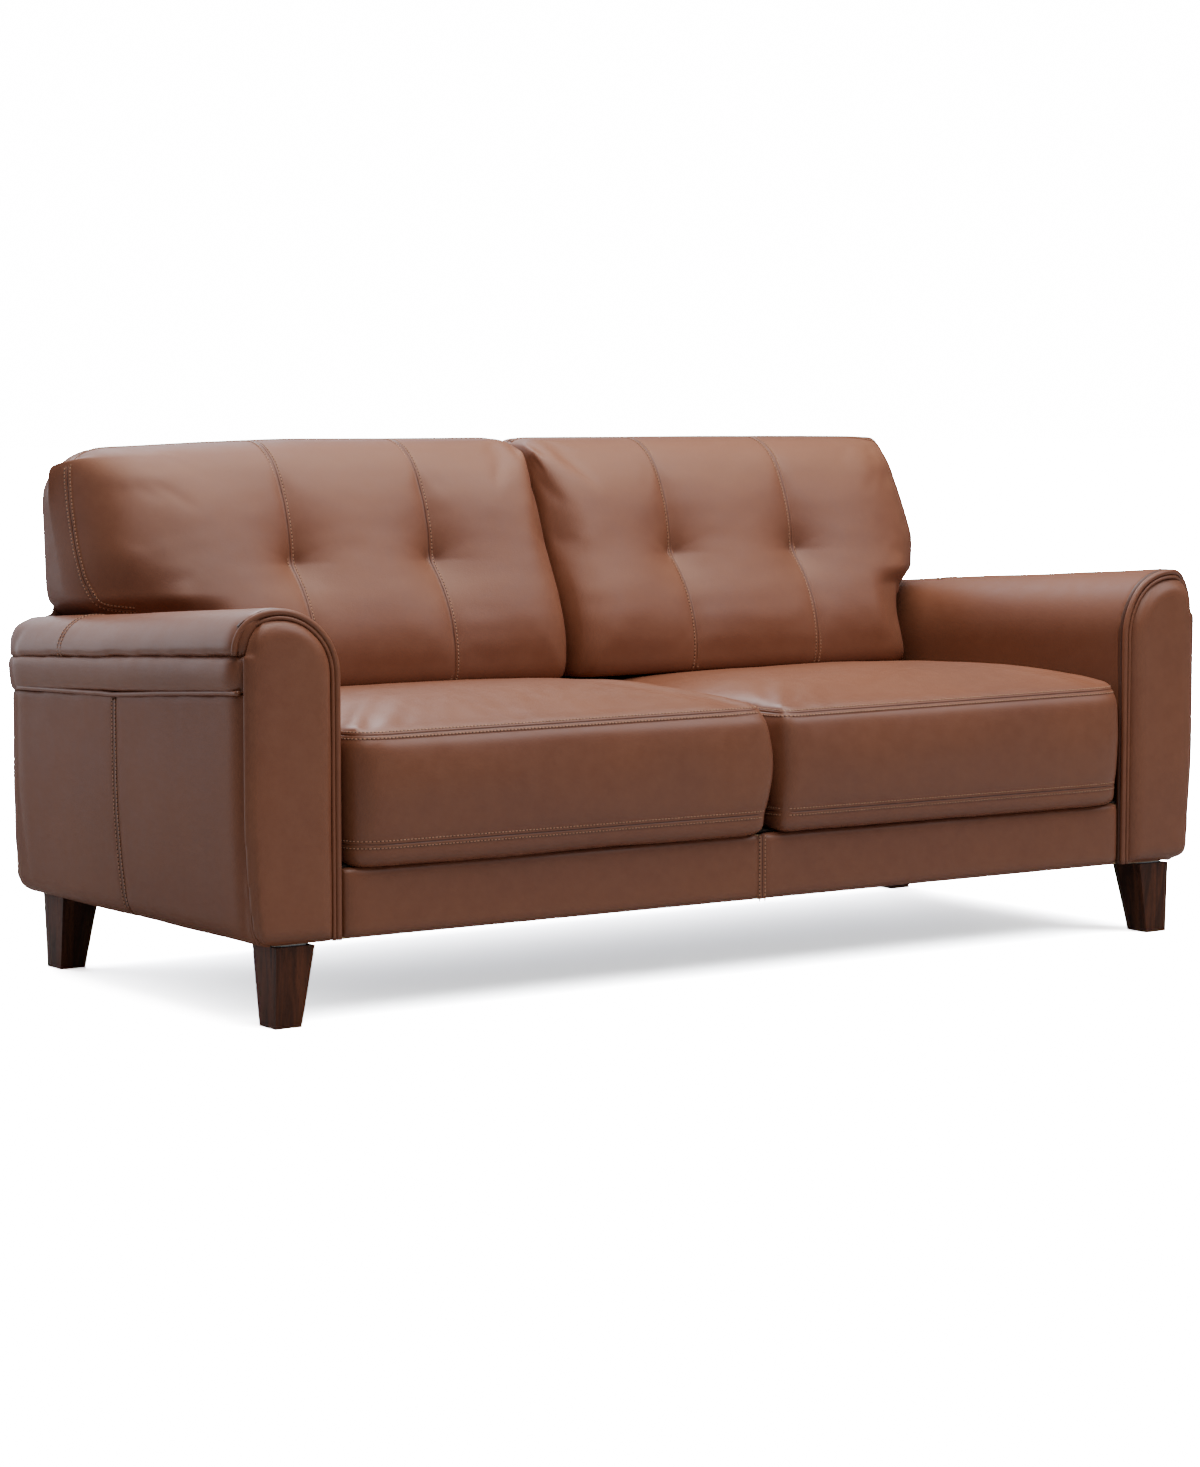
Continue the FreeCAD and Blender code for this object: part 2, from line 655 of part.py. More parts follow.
POST_OUTER = f"({FRAME_INNER} + Sizes.stock)"
POST_BACK = f"({POST_FRONT} + Sizes.post_width)"
REAR_POST_FRONT = f"({POST_REAR} - Sizes.post_width)"
FRONT_RAIL_BACK = f"({FRONT_RAIL_FACE} + Sizes.rail_thickness)"
BACK_RAIL_FACE = f"({BACK_RAIL_REAR} - Sizes.rail_thickness)"


def mirrored_copy(source, name):
    """An unlisted mirror image, for pieces that cross the middle."""
    twin = doc.addObject("Part::Mirroring", name)
    twin.Source = source
    twin.Normal = Vector(1, 0, 0)
    return twin


def make_seat_frame():
    """Front and back rails, arm posts, side rails and centre stretcher, tenoned together."""
    thick = "Sizes.tenon_thickness"
    rail_ends = (f"-{FRAME_INNER}", FRAME_INNER)
    tenon_reach = f"({FRAME_INNER} + Sizes.tenon_length)"
    whole_reach = (f"-{tenon_reach}", tenon_reach)

    front_edge = f"({POST_FRONT} + Sizes.tenon_edge)"
    front_tenon, front_mortise = tenon(
        "front_rail",
        whole_reach,
        (front_edge, f"{front_edge} + {thick}"),
        rail_tenon_span(FRAME_BOTTOM, "Sizes.rail_top"),
    )
    back_edge = f"({BACK_RAIL_FACE} + (Sizes.rail_thickness - {thick}) / 2)"
    back_tenon, back_mortise = tenon(
        "back_rail",
        whole_reach,
        (back_edge, f"{back_edge} + {thick}"),
        rail_tenon_span(FRAME_BOTTOM, "Sizes.rail_top"),
    )
    side_edge_at = f"({FRAME_INNER} + (Sizes.stock - {thick}) / 2)"
    side_tenon, side_mortise = tenon(
        "side_rail",
        (side_edge_at, f"{side_edge_at} + {thick}"),
        (f"{POST_BACK} - Sizes.tenon_length", f"{REAR_POST_FRONT} + Sizes.tenon_length"),
        rail_tenon_span(FRAME_BOTTOM, "Sizes.rail_top"),
    )
    stretcher_top = "(Sizes.rail_top - Sizes.stretcher_drop)"
    stretcher_low = f"({stretcher_top} - Sizes.stretcher_height)"
    stretcher_tenon, stretcher_mortise = tenon(
        "stretcher",
        (f"-{thick} / 2", f"{thick} / 2"),
        (f"{FRONT_RAIL_BACK} - Sizes.tenon_length", f"{BACK_RAIL_FACE} + Sizes.tenon_length"),
        rail_tenon_span(stretcher_low, stretcher_top),
    )

    front_beam = block(
        "front_beam",
        rail_ends,
        (FRONT_RAIL_FACE, FRONT_RAIL_BACK),
        (FRAME_BOTTOM, "Sizes.rail_top"),
    )
    front_rail = cut(
        "front_rail", fuse("front_beam_and_tenons", [front_beam, front_tenon]), stretcher_mortise
    )
    keep(front_rail, "front_rail")
    back_beam = block(
        "back_beam",
        rail_ends,
        (BACK_RAIL_FACE, BACK_RAIL_REAR),
        (FRAME_BOTTOM, "Sizes.rail_top"),
    )
    back_rail = cut(
        "back_rail", fuse("back_beam_and_tenons", [back_beam, back_tenon]), stretcher_mortise
    )
    keep(back_rail, "back_rail")
    half_stretcher = "(Sizes.rail_thickness / 2)"
    stretcher_beam = block(
        "stretcher_beam",
        (f"-{half_stretcher}", half_stretcher),
        (FRONT_RAIL_BACK, BACK_RAIL_FACE),
        (stretcher_low, stretcher_top),
    )
    keep(fuse("centre_stretcher", [stretcher_beam, stretcher_tenon]), "centre_stretcher")
    side_beam = block(
        "side_beam",
        (FRAME_INNER, POST_OUTER),
        (POST_BACK, REAR_POST_FRONT),
        (FRAME_BOTTOM, "Sizes.rail_top"),
    )
    pair(fuse("side_rail", [side_beam, side_tenon]), "seat_side_rail")

    post_top = f"({FRAME_CROWN} - Sizes.post_top_drop)"
    front_post = block(
        "front_post_blank", (FRAME_INNER, POST_OUTER), (POST_FRONT, POST_BACK), (FRAME_BOTTOM, post_top)
    )
    rear_post = block(
        "rear_post_blank",
        (FRAME_INNER, POST_OUTER),
        (REAR_POST_FRONT, POST_REAR),
        (FRAME_BOTTOM, f"{post_top} - Sizes.arm_drop"),
    )
    front_cuts = fuse("front_post_mortises", [front_mortise, side_mortise])
    rear_cuts = fuse("rear_post_mortises", [back_mortise, side_mortise])
    posts = [
        cut("front_post", front_post, front_cuts),
        cut("rear_post", rear_post, rear_cuts),
    ]
    pair(group("arm_posts", posts), "arm_posts")


def make_corner_blocks():
    """Triangular blocks glued into the corners of the seat frame."""
    blocks = []
    leg = "Sizes.corner_leg"
    toe = "Sizes.corner_toe"
    for name, wall, inward in (
        ("front_corner_block", FRONT_RAIL_BACK, 1),
        ("rear_corner_block", BACK_RAIL_FACE, -1),
    ):
        body = new_body(name)
        sketch = sketch_on(body, "XY_Plane", FRAME_BOTTOM)
        draw_outline(
            sketch,
            [
                (FRAME_INNER, wall),
                (FRAME_INNER, f"{wall} + {inward} * {leg}"),
                (f"{FRAME_INNER} - {toe}", f"{wall} + {inward} * {leg}"),
                (f"{FRAME_INNER} - {leg}", f"{wall} + {inward} * {toe}"),
                (f"{FRAME_INNER} - {leg}", wall),
            ],
        )
        pad_up(body, sketch, "Sizes.corner_height")
        blocks += [body, mirrored_copy(body, f"{name}_twin")]
    keep(group("corner_blocks", blocks), "corner_blocks")


def make_arm_rails():
    """Foot rail, sloping top rail and hardboard sides of the arm frame."""
    foot = block(
        "foot_rail_blank",
        (f"{LEG_OUTER} - Sizes.leg_width", LEG_OUTER),
        (POST_FRONT, POST_REAR),
        (FRAME_BOTTOM, f"{FRAME_BOTTOM} + Sizes.stock"),
    )
    pair(cut("foot_rail", foot, bolt_holes("foot_rail_holes")), "arm_foot_rail")

    body = new_body("arm_top_rail")
    sketch = sketch_on(body, "XZ_Plane", f"-{POST_FRONT}")
    top = fallen(f"({FRAME_CROWN} - Sizes.top_rail_drop)", POST_FRONT)
    half = "(Sizes.top_rail_width / 2)"
    draw_outline(
        sketch,
        rectangle(f"{ARM_CROWN} - {half}", f"{top} - Sizes.stock", f"{ARM_CROWN} + {half}", top),
    )
    pad_along_y(body, sketch, f"{POST_REAR} - {POST_FRONT}", ARM_SLOPE)
    pair(body, "arm_top_rail")

    arch_foot = f"({FRAME_CROWN} - ({ARM_CROWN} - {FRAME_INNER}) - Sizes.hardboard)"
    boards = []
    for name, face, low, high in (
        ("inner_board", BOARD_INNER, "Sizes.rail_top", arch_foot),
        ("outer_board", FRAME_OUTER, f"Sizes.side_bow_height", LIP),
    ):
        board = new_body(name)
        side = sketch_on(board, "YZ_Plane", face)
        draw_outline(
            side,
            [
                (POST_FRONT, f"{low} + Sizes.deck_pad_thickness"),
                (POST_REAR, f"{low} + Sizes.deck_pad_thickness"),
                (POST_REAR, fallen(high, POST_REAR)),
                (POST_FRONT, fallen(high, POST_FRONT)),
            ],
        )
        pad_up(board, side, "Sizes.hardboard")
        boards.append(board)
    pair(group("arm_boards", boards), "arm_boards")


# Legs and their fixings


def leg_centres():
    """Right-hand leg centres: name, distance behind the middle."""
    return (("front", FRONT_LEG_MIDDLE), ("rear", REAR_LEG_MIDDLE))


def upright_rod(name, along, low, high, radius):
    """A cylinder over a right-hand leg centre."""
    rod = doc.addObject("Part::Cylinder", name)
    rod.setExpression("Radius", radius)
    rod.setExpression("Height", f"{high} - {low}")
    rod.setExpression(".Placement.Base.x", LEG_MIDDLE)
    rod.setExpression(".Placement.Base.y", along)
    rod.setExpression(".Placement.Base.z", low)
    return rod


def bolt_holes(name):
    """Clearance holes for both right-hand hanger bolts, through the whole frame."""
    holes = [
        upright_rod(f"{name}_{end}", along, "0", "Sizes.arm_height", BORE_RADIUS)
        for end, along in leg_centres()
    ]
    return fuse(name, holes)


def make_legs():
    """Tapered square legs, upright on the outside, bored for the hanger bolt."""
    foot_inner = f"({LEG_OUTER} - Sizes.foot_width)"
    top_inner = f"({LEG_OUTER} - Sizes.leg_width)"
    front_foot = f"({FRONT_LEG_FACE} + Sizes.front_leg_taper)"
    rear_foot = f"({REAR_LEG_FACE} - Sizes.rear_leg_taper)"
    spans = (
        (
            "front",
            FRONT_LEG_MIDDLE,
            (front_foot, f"{front_foot} + Sizes.foot_depth"),
            (FRONT_LEG_FACE, f"{FRONT_LEG_FACE} + Sizes.leg_depth"),
        ),
        (
            "rear",
            REAR_LEG_MIDDLE,
            (f"{rear_foot} - Sizes.foot_depth", rear_foot),
            (f"{REAR_LEG_FACE} - Sizes.leg_depth", REAR_LEG_FACE),
        ),
    )
    for end, middle, foot, top in spans:
        taper = doc.addObject("Part::Wedge", f"{end}_leg_taper")
        faces = {
            "Xmin": foot_inner,
            "Xmax": LEG_OUTER,
            "X2min": top_inner,
            "X2max": LEG_OUTER,
            "Ymin": "0",
            "Ymax": "Sizes.leg_height",
            "Zmin": f"-({foot[1]})",
            "Zmax": f"-({foot[0]})",
            "Z2min": f"-({top[1]})",
            "Z2max": f"-({top[0]})",
        }
        for side, place in faces.items():
            taper.setExpression(side, place)
        taper.Placement = FreeCAD.Placement(Vector(), FreeCAD.Rotation(Vector(1, 0, 0), 90))
        bore = upright_rod(
            f"{end}_leg_bore",
            middle,
            "(Sizes.leg_height - Sizes.bolt_in_leg - Sizes.bolt_clearance)",
            "Sizes.arm_height",
            BORE_RADIUS,
        )
        body = cut(f"{end}_leg", taper, bore)
        keep(body, f"{end}_right_leg")
        mirror(body, f"{end}_left_leg")


def make_leg_fixings():
    """Steel plates, hanger bolts and wooden blocks that hold the legs."""
    plates = []
    bolts = []
    blocks = []
    half = "(Sizes.plate_size / 2)"
    bevel = f"({half} - Sizes.plate_corner)"
    block_spans = {
        "front": (POST_FRONT, f"{POST_FRONT} + Sizes.leg_block_depth"),
        "rear": (f"{POST_REAR} - Sizes.leg_block_depth", POST_REAR),
    }
    foot_rail_top = f"({FRAME_BOTTOM} + Sizes.stock)"
    for end, along in leg_centres():
        plate = new_body(f"{end}_leg_plate")
        sketch = sketch_on(plate, "XY_Plane", "Sizes.leg_height")
        outline = [
            (f"{LEG_MIDDLE} + {across}", f"{along} + {depth}")
            for across, depth in (
                (f"-{bevel}", f"-{half}"),
                (bevel, f"-{half}"),
                (half, f"-{bevel}"),
                (half, bevel),
                (bevel, half),
                (f"-{bevel}", half),
                (f"-{half}", bevel),
                (f"-{half}", f"-{bevel}"),
            )
        ]
        draw_outline(sketch, outline)
        draw_circle(sketch, LEG_MIDDLE, along, BORE_RADIUS)
        pad_up(plate, sketch, "Sizes.cover_wrap")
        plates += [plate, mirrored_copy(plate, f"{end}_left_plate")]
        bolt = upright_rod(
            f"{end}_bolt",
            along,
            "(Sizes.leg_height - Sizes.bolt_in_leg)",
            f"({foot_rail_top} - Sizes.bolt_top_cover)",
            "Sizes.bolt_radius",
        )
        bolts += [bolt, mirrored_copy(bolt, f"{end}_left_bolt")]
        brace = block(
            f"{end}_leg_block",
            (f"{LEG_OUTER} - Sizes.leg_width", LEG_OUTER),
            block_spans[end],
            (foot_rail_top, f"{foot_rail_top} + Sizes.leg_block_height"),
        )
        blocks += [brace, mirrored_copy(brace, f"{end}_left_leg_block")]
    keep(group("leg_plates", plates), "leg_plates")
    keep(group("leg_bolts", bolts), "leg_bolts")
    keep(group("leg_blocks", blocks), "leg_blocks")


# Seat suspension


def strap(across, path, width, thickness, along_x=False):
    """A flat strap, its lower side on path, a list of (distance, height)."""
    lower = [Vector(0, distance, height) for distance, height in path]
    upper = [Vector(0, distance, height + thickness) for distance, height in reversed(path)]
    side = Part.Face(Part.makePolygon(lower + upper + lower[:1]))
    solid = side.extrude(Vector(width, 0, 0))
    solid.translate(Vector(-width / 2, 0, 0))
    if along_x:
        solid.rotate(Vector(), Vector(0, 0, 1), -90)
        solid.translate(Vector(0, across, 0))
    else:
        solid.translate(Vector(across, 0, 0))
    return solid


def spread(low, high, count):
    """Middles of equal shares of a span."""
    share = (high - low) / count
    return [low + share * (index + 0.5) for index in range(count)]


def woven_path(start, end, crossings, first_over, width, low, lift):
    """The lower side of a strap that passes over and under the straps at its crossings."""
    path = [(start, low)]
    half = width / 2 + 8
    for index, crossing in enumerate(crossings):
        height = low + (lift if (index + first_over) % 2 else 0)
        path += [(crossing - half, height), (crossing + half, height)]
    path.append((end, low))
    return path


def strap_feature(name, solids):
    feature = doc.addObject("Part::Feature", name)
    feature.Shape = Part.makeCompound(solids)
    return keep(feature, name)


def make_seat_webbing():
    """Elastic straps, woven over and under each other across the seat frame."""
    width = number("Sizes.strap_width")
    thickness = number("Sizes.strap_thickness")
    lift = thickness + number("Sizes.weave_gap")
    low = number("Sizes.rail_top")
    lap = number("Sizes.strap_lap")
    front = number(FRONT_RAIL_FACE) + lap
    rear = number(BACK_RAIL_REAR) - lap
    side = number(POST_OUTER) - lap
    long_at = spread(-number(FRAME_INNER), number(FRAME_INNER), SEAT_STRAPS)
    cross_at = spread(number(FRONT_RAIL_BACK), number(BACK_RAIL_FACE), CROSS_STRAPS)
    long_straps = []
    for index, across in enumerate(long_at):
        path = woven_path(front, rear, cross_at, index % 2, width, low, lift)
        long_straps.append(strap(across, path, width, thickness))
    cross_straps = []
    for index, along in enumerate(cross_at):
        path = woven_path(-side, side, long_at, (index + 1) % 2, width, low, lift)
        cross_straps.append(strap(along, path, width, thickness, along_x=True))
    strap_feature("seat_long_straps", long_straps)
    strap_feature("seat_cross_straps", cross_straps)


def make_deck_pad():
    """Felt over the webbing, under the seat cushions."""
    pad = block(
        "deck_pad",
        (f"-{ARM_INNER} + Sizes.fit_gap", f"{ARM_INNER} - Sizes.fit_gap"),
        (FRONT_RAIL_FACE, BACK_RAIL_REAR),
        (DECK, f"{DECK} + Sizes.deck_pad_thickness"),
    )
    keep(pad, "deck_pad")


def make_dust_cover():
    """Cloth tacked under the whole frame, cut out at the corners for the legs."""
    body = new_body("dust_cover")
    sketch = sketch_on(body, "XY_Plane", f"{FRAME_BOTTOM} - Sizes.dust_cover_thickness")
    wide = f"({DRAWN_SIDE} - Sizes.side_corner - Sizes.fit_gap)"
    narrow = f"({LEG_OUTER} - Sizes.leg_width - Sizes.soft_gap)"
    front_step = f"({FRONT_LEG_FACE} + Sizes.leg_depth + Sizes.soft_gap)"
    rear_step = f"({REAR_LEG_FACE} - Sizes.leg_depth - Sizes.soft_gap)"
    right = [
        (narrow, FRONT_RAIL_FACE),
        (narrow, front_step),
        (wide, front_step),
        (wide, rear_step),
        (narrow, rear_step),
        (narrow, ARM_REAR),
    ]
    left = [(f"-{across}", along) for across, along in reversed(right)]
    draw_outline(sketch, right + left)
    pad_up(body, sketch, "Sizes.dust_cover_thickness")
    keep(body, "dust_cover")


# Seat cushions


def seat_form(name, inset):
    """A seat cushion's form, inset all round: rounded in front, its top falling to the rear."""
    body = new_body(name)
    sketch = sketch_on(body, "YZ_Plane", f"{SPLIT} + {inset}")
    front = f"({FRONT} + {inset})"
    rear = f"(Sizes.seat_rear - {inset})"
    low = f"({SEAT_BOTTOM} + {inset})"
    high = f"(Sizes.seat_height - {inset})"
    flat = f"({rear} - {SEAT_FLAT})"
    sweep = f"({flat}^2 + Sizes.seat_fall^2) / (2 * Sizes.seat_fall)"
    top_radius = f"(Sizes.seat_top_radius - {inset})"
    draw_outline(
        sketch,
        [
            (rear, low),
            (f"{FRONT} + Sizes.seat_low_radius", low, f"Sizes.seat_low_radius - {inset}", -1),
            (front, f"{SEAT_BOTTOM} + Sizes.seat_low_radius"),
            (front, f"{high} - {top_radius}", top_radius, -1),
            (SEAT_FLAT, high, sweep, -1),
            (rear, f"{high} - Sizes.seat_fall"),
        ],
    )
    pad_up(body, sketch, f"{SEAT_SIDE} - {SPLIT} - 2 * {inset}")
    return body


def seat_stuffing(name, inset):
    """The seat cushion's inside, with a plinth that reaches down through the cover's mouth."""
    body = seat_form(name, inset)
    plinth = sketch_on(body, "XY_Plane", SEAT_BOTTOM)
    draw_outline(
        plinth,
        rectangle(
            f"{SPLIT} + {inset}",
            f"{FRONT} + Sizes.seat_low_radius + {inset}",
            f"{SEAT_SIDE} - Sizes.seat_mouth_inset - {inset}",
            f"Sizes.seat_rear - {inset}",
        ),
    )
    pad_up(body, plinth, f"{inset} + Sizes.seat_low_radius / 2")
    return body


def make_seat_cushions():
    """Leather cover, open below, over a foam core that stands on the deck pad."""
    form = seat_form("seat_cover_form", "0")
    hollow = seat_stuffing("seat_cover_hollow", "Sizes.seat_cover")
    pair(cut("seat_cover", form, hollow), "seat_cover")
    pair(seat_stuffing("seat_core", "(Sizes.seat_cover + Sizes.fit_gap)"), "seat_core")


# Back cushions


def back_foot_at(along):
    """Height of the back cushion's lower face, which lies on the seat."""
    foot = f"({seat_top('Sizes.back_foot')} + Sizes.soft_gap)"
    rear = f"({seat_top('Sizes.seat_rear')} + Sizes.soft_gap)"
    share = f"(({along} - Sizes.back_foot) / (Sizes.seat_rear - Sizes.back_foot))"
    return f"({foot} + ({rear} - {foot}) * {share})"


def back_form(name, inset, rear, roll):
    """A back cushion's form with its ear over the arm; roll adds the padding behind the rail."""
    body = new_body(name)
    sketch = sketch_on(body, "YZ_Plane", f"{SPLIT} + {inset}")
    top = f"(Sizes.overall_height - {inset})"
    outline = [
        (rear, f"{back_foot_at(rear)} + {inset}"),
        (f"Sizes.back_foot + {inset}", f"{back_foot_at('Sizes.back_foot')} + {inset}"),
        (f"Sizes.back_crown + {inset}", top),
    ]
    if roll:
        lip = "(Sizes.overall_height - Sizes.roll_lip)"
        outline += [(REAR, top), (REAR, lip), (rear, lip)]
    else:
        outline += [(rear, top)]
    draw_outline(sketch, outline)
    pad_up(body, sketch, f"{EAR_REACH} - {SPLIT} - 2 * {inset}")

    high = number(top)

    def along_x(edge, distance, height):
        middle = edge.CenterOfMass
        beside = abs(middle.y - number(distance)) < 0.01 and abs(middle.z - height) < 0.01
        return beside and edge.BoundBox.XLength > number("Sizes.arm_width") / 2

    crown = f"Sizes.back_crown + {inset}"
    foot = f"Sizes.back_foot + {inset}"
    foot_height = number(f"{back_foot_at('Sizes.back_foot')} + {inset}")
    round_edges(body, f"Sizes.back_crown_radius - {inset}", lambda edge: along_x(edge, crown, high))
    round_edges(
        body, f"Sizes.back_foot_radius - {inset}", lambda edge: along_x(edge, foot, foot_height)
    )
    if roll:
        round_edges(body, "Sizes.back_roll_radius", lambda edge: along_x(edge, REAR, high))
    return cut(f"{name}_shaped", body, fuse(f"{name}_waste", back_waste(name, inset)))


def back_waste(name, inset):
    """What is cut from a back cushion's block: under the ear, round its front and its corners."""
    low = f"({back_foot_at('Sizes.back_foot')} + {inset})"
    top = f"(Sizes.overall_height - {inset})"
    lean = f"((Sizes.back_crown - Sizes.back_foot) / ({top} - {low}))"
    foot_front = f"(Sizes.back_foot + {inset} - {lean} * ({low} - {SEAT_BOTTOM}))"
    front = f"({foot_front} / sqrt(1 + {lean}^2) - Sizes.soft_gap)"
    beyond = HALF_WIDTH
    side = f"({SEAT_SIDE} - {inset})"
    ear = f"({EAR_REACH} - {inset})"
    ear_foot = f"(Sizes.arm_height + Sizes.soft_gap + {inset})"

    def leaning(part, outline):
        """A prism that leans back with the front of the cushion."""
        body = new_body(f"{name}_{part}")
        sketch = sketch_on(body, "XY_Plane", SEAT_BOTTOM)
        tilt(sketch, lean)
        draw_outline(sketch, outline)
        pad_up(body, sketch, "Sizes.overall_height")
        return body

    radius = f"(Sizes.back_side_radius - {inset})"
    beside_arm = leaning(
        "beside_arm",
        [
            (f"{side} - {radius}", front, radius, 1),
            (side, f"{front} + {radius}"),
            (side, f"{REAR} + Sizes.back_roll_radius"),
            (beyond, f"{REAR} + Sizes.back_roll_radius"),
            (beyond, front),
        ],
    )
    arm_room = new_body(f"{name}_arm_room")
    profile = sketch_on(arm_room, "YZ_Plane", f"{side} - {radius} - Sizes.soft_gap")
    draw_outline(
        profile,
        [
            ("0", SEAT_BOTTOM),
            (REAR, SEAT_BOTTOM),
            (REAR, fallen(ear_foot, REAR)),
            ("0", fallen(ear_foot, "0")),
        ],
    )
    pad_up(arm_room, profile, f"{beyond} - {side} + {radius} + Sizes.soft_gap")
    wrap_radius = (
        "((Sizes.ear_wrap^2 + Sizes.ear_wrap_depth^2) / (2 * Sizes.ear_wrap_depth)"
        f" - {inset})"
    )
    wrap = f"(Sizes.ear_wrap - {inset})"
    wrap_end = f"({front} + {wrap_radius} - sqrt({wrap_radius}^2 - {wrap}^2))"
    ear_front = leaning(
        "ear_front",
        [
            (f"{ear} - {wrap}", front, wrap_radius, 1),
            (ear, wrap_end),
            (beyond, wrap_end),
            (beyond, front),
        ],
    )
    corner = f"(Sizes.ear_top_corner - {inset})"
    top_corner = new_body(f"{name}_top_corner")
    profile = sketch_on(top_corner, "XZ_Plane", "0")
    draw_outline(
        profile,
        [
            (f"{ear} - {corner}", top, corner, -1),
            (ear, f"{top} - {corner}"),
            (beyond, f"{top} - {corner}"),
            (beyond, f"{top} + {corner}"),
            (f"{ear} - {corner}", f"{top} + {corner}"),
        ],
    )
    pad_along_y(top_corner, profile, f"{REAR} + Sizes.soft_gap")
    corner = f"(Sizes.ear_low_corner - {inset})"
    low_corner = new_body(f"{name}_low_corner")
    profile = sketch_on(low_corner, "XZ_Plane", f"-{CAP_FRONT}")
    tilt(profile, ARM_SLOPE)
    square_foot = f"({ear_foot} / sqrt(1 + {ARM_SLOPE}^2))"
    draw_outline(
        profile,
        [
            (f"{ear} - {corner}", square_foot, corner, 1),
            (ear, f"{square_foot} + {corner}"),
            (beyond, f"{square_foot} + {corner}"),
            (beyond, f"{square_foot} - {corner}"),
            (f"{ear} - {corner}", f"{square_foot} - {corner}"),
        ],
    )
    pad_along_y(low_corner, profile, f"{REAR} + Sizes.soft_gap - {CAP_FRONT}", ARM_SLOPE)
    under_ear = overlap(f"{name}_under_ear", [beside_arm, arm_room])
    return [under_ear, ear_front, top_corner, low_corner]


def make_back_cushions():
    """Leather cover, wrapped over the back frame and open behind, over a fibre core."""
    outer = back_form("back_cover_form", "0", ARM_REAR, roll=True)
    hollow = back_form("back_cover_hollow", "Sizes.back_cover", f"({STRAP_FACE} + 1)", roll=False)
    frame_room = block(
        "frame_room",
        ("0", f"{TOP_RAIL_REACH} + Sizes.fit_gap"),
        (STRAP_FACE, f"{ARM_REAR} + Sizes.fit_gap"),
        (SEAT_BOTTOM, f"{TOP_RAIL_TOP} + Sizes.fit_gap"),
    )
    room = fuse("back_cover_room", [hollow, frame_room])
    pair(cut("back_cover", outer, room), "back_cover")
    core = back_form("back_core", "(Sizes.back_cover + Sizes.fit_gap)", STRAP_FACE, roll=False)
    pair(core, "back_core")


# Back frame


def make_back_posts():
    """Three plywood posts, stepped at the foot for the back rail and tenoned at the top."""
    thick = "Sizes.post_thickness"
    notch_face = f"({POST_FACE} + Sizes.mid_rail_thickness)"
    mid_top = "(Sizes.mid_rail_at + Sizes.mid_rail_height)"
    rail_top = "Sizes.rail_top"
    outer = f"({OUTER_POST} - {thick} / 2)"
    posts = []
    for name, low in (("outer_back_post", outer), ("centre_back_post", f"(-{thick} / 2)")):
        body = new_body(name)
        sketch = sketch_on(body, "YZ_Plane", low)
        draw_outline(
            sketch,
            [
                (BACK_RAIL_REAR, FRAME_BOTTOM),
                (ARM_REAR, FRAME_BOTTOM),
                (ARM_REAR, TOP_RAIL_FOOT),
                (POST_FACE, TOP_RAIL_FOOT),
                (POST_FACE, mid_top),
                (notch_face, mid_top),
                (notch_face, "Sizes.mid_rail_at"),
                (POST_FACE, "Sizes.mid_rail_at"),
                (BACK_RAIL_REAR, rail_top),
            ],
        )
        pad_up(body, sketch, thick)
        posts.append(body)
    tongue_low = f"({POST_FACE} + ({thick} - Sizes.tenon_thickness) / 2)"
    along = (tongue_low, f"{tongue_low} + Sizes.tenon_thickness")
    up = (TOP_RAIL_FOOT, f"{TOP_RAIL_FOOT} + Sizes.tenon_length")
    outer_tenon, outer_mortise = tenon("outer_post", (outer, f"{outer} + {thick}"), along, up)
    centre_tenon, centre_mortise = tenon(
        "centre_post", (f"-{thick} / 2", f"{thick} / 2"), along, up
    )
    outer_post = fuse("outer_post", [posts[0], outer_tenon])
    centre_post = fuse("centre_post", [posts[1], centre_tenon])
    twin = mirrored_copy(outer_post, "left_outer_post")
    keep(group("back_posts", [outer_post, centre_post, twin]), "back_posts")

    beam = new_body("top_rail_beam")
    sketch = sketch_on(beam, "XZ_Plane", f"-{POST_FACE}")
    shoulder = f"{TOP_RAIL_TOP} - Sizes.top_rail_corner"
    crown = f"{TOP_RAIL_REACH} - Sizes.top_rail_corner"
    draw_outline(
        sketch,
        [
            (f"-{TOP_RAIL_REACH}", TOP_RAIL_FOOT),
            (TOP_RAIL_REACH, TOP_RAIL_FOOT),
            (TOP_RAIL_REACH, shoulder),
            (crown, TOP_RAIL_TOP),
            (f"-({crown})", TOP_RAIL_TOP),
            (f"-{TOP_RAIL_REACH}", shoulder),
        ],
    )
    pad_along_y(beam, sketch, f"{ARM_REAR} - {POST_FACE}")
    mortises = [outer_mortise, centre_mortise, mirrored_copy(outer_mortise, "left_mortise")]
    keep(cut("back_top_rail", beam, fuse("top_rail_mortises", mortises)), "back_top_rail")
    reach = f"({OUTER_POST} + {thick} / 2)"
    rail = block(
        "back_mid_rail",
        (f"-{reach}", reach),
        (POST_FACE, notch_face),
        ("Sizes.mid_rail_at", mid_top),
    )
    keep(rail, "back_mid_rail")


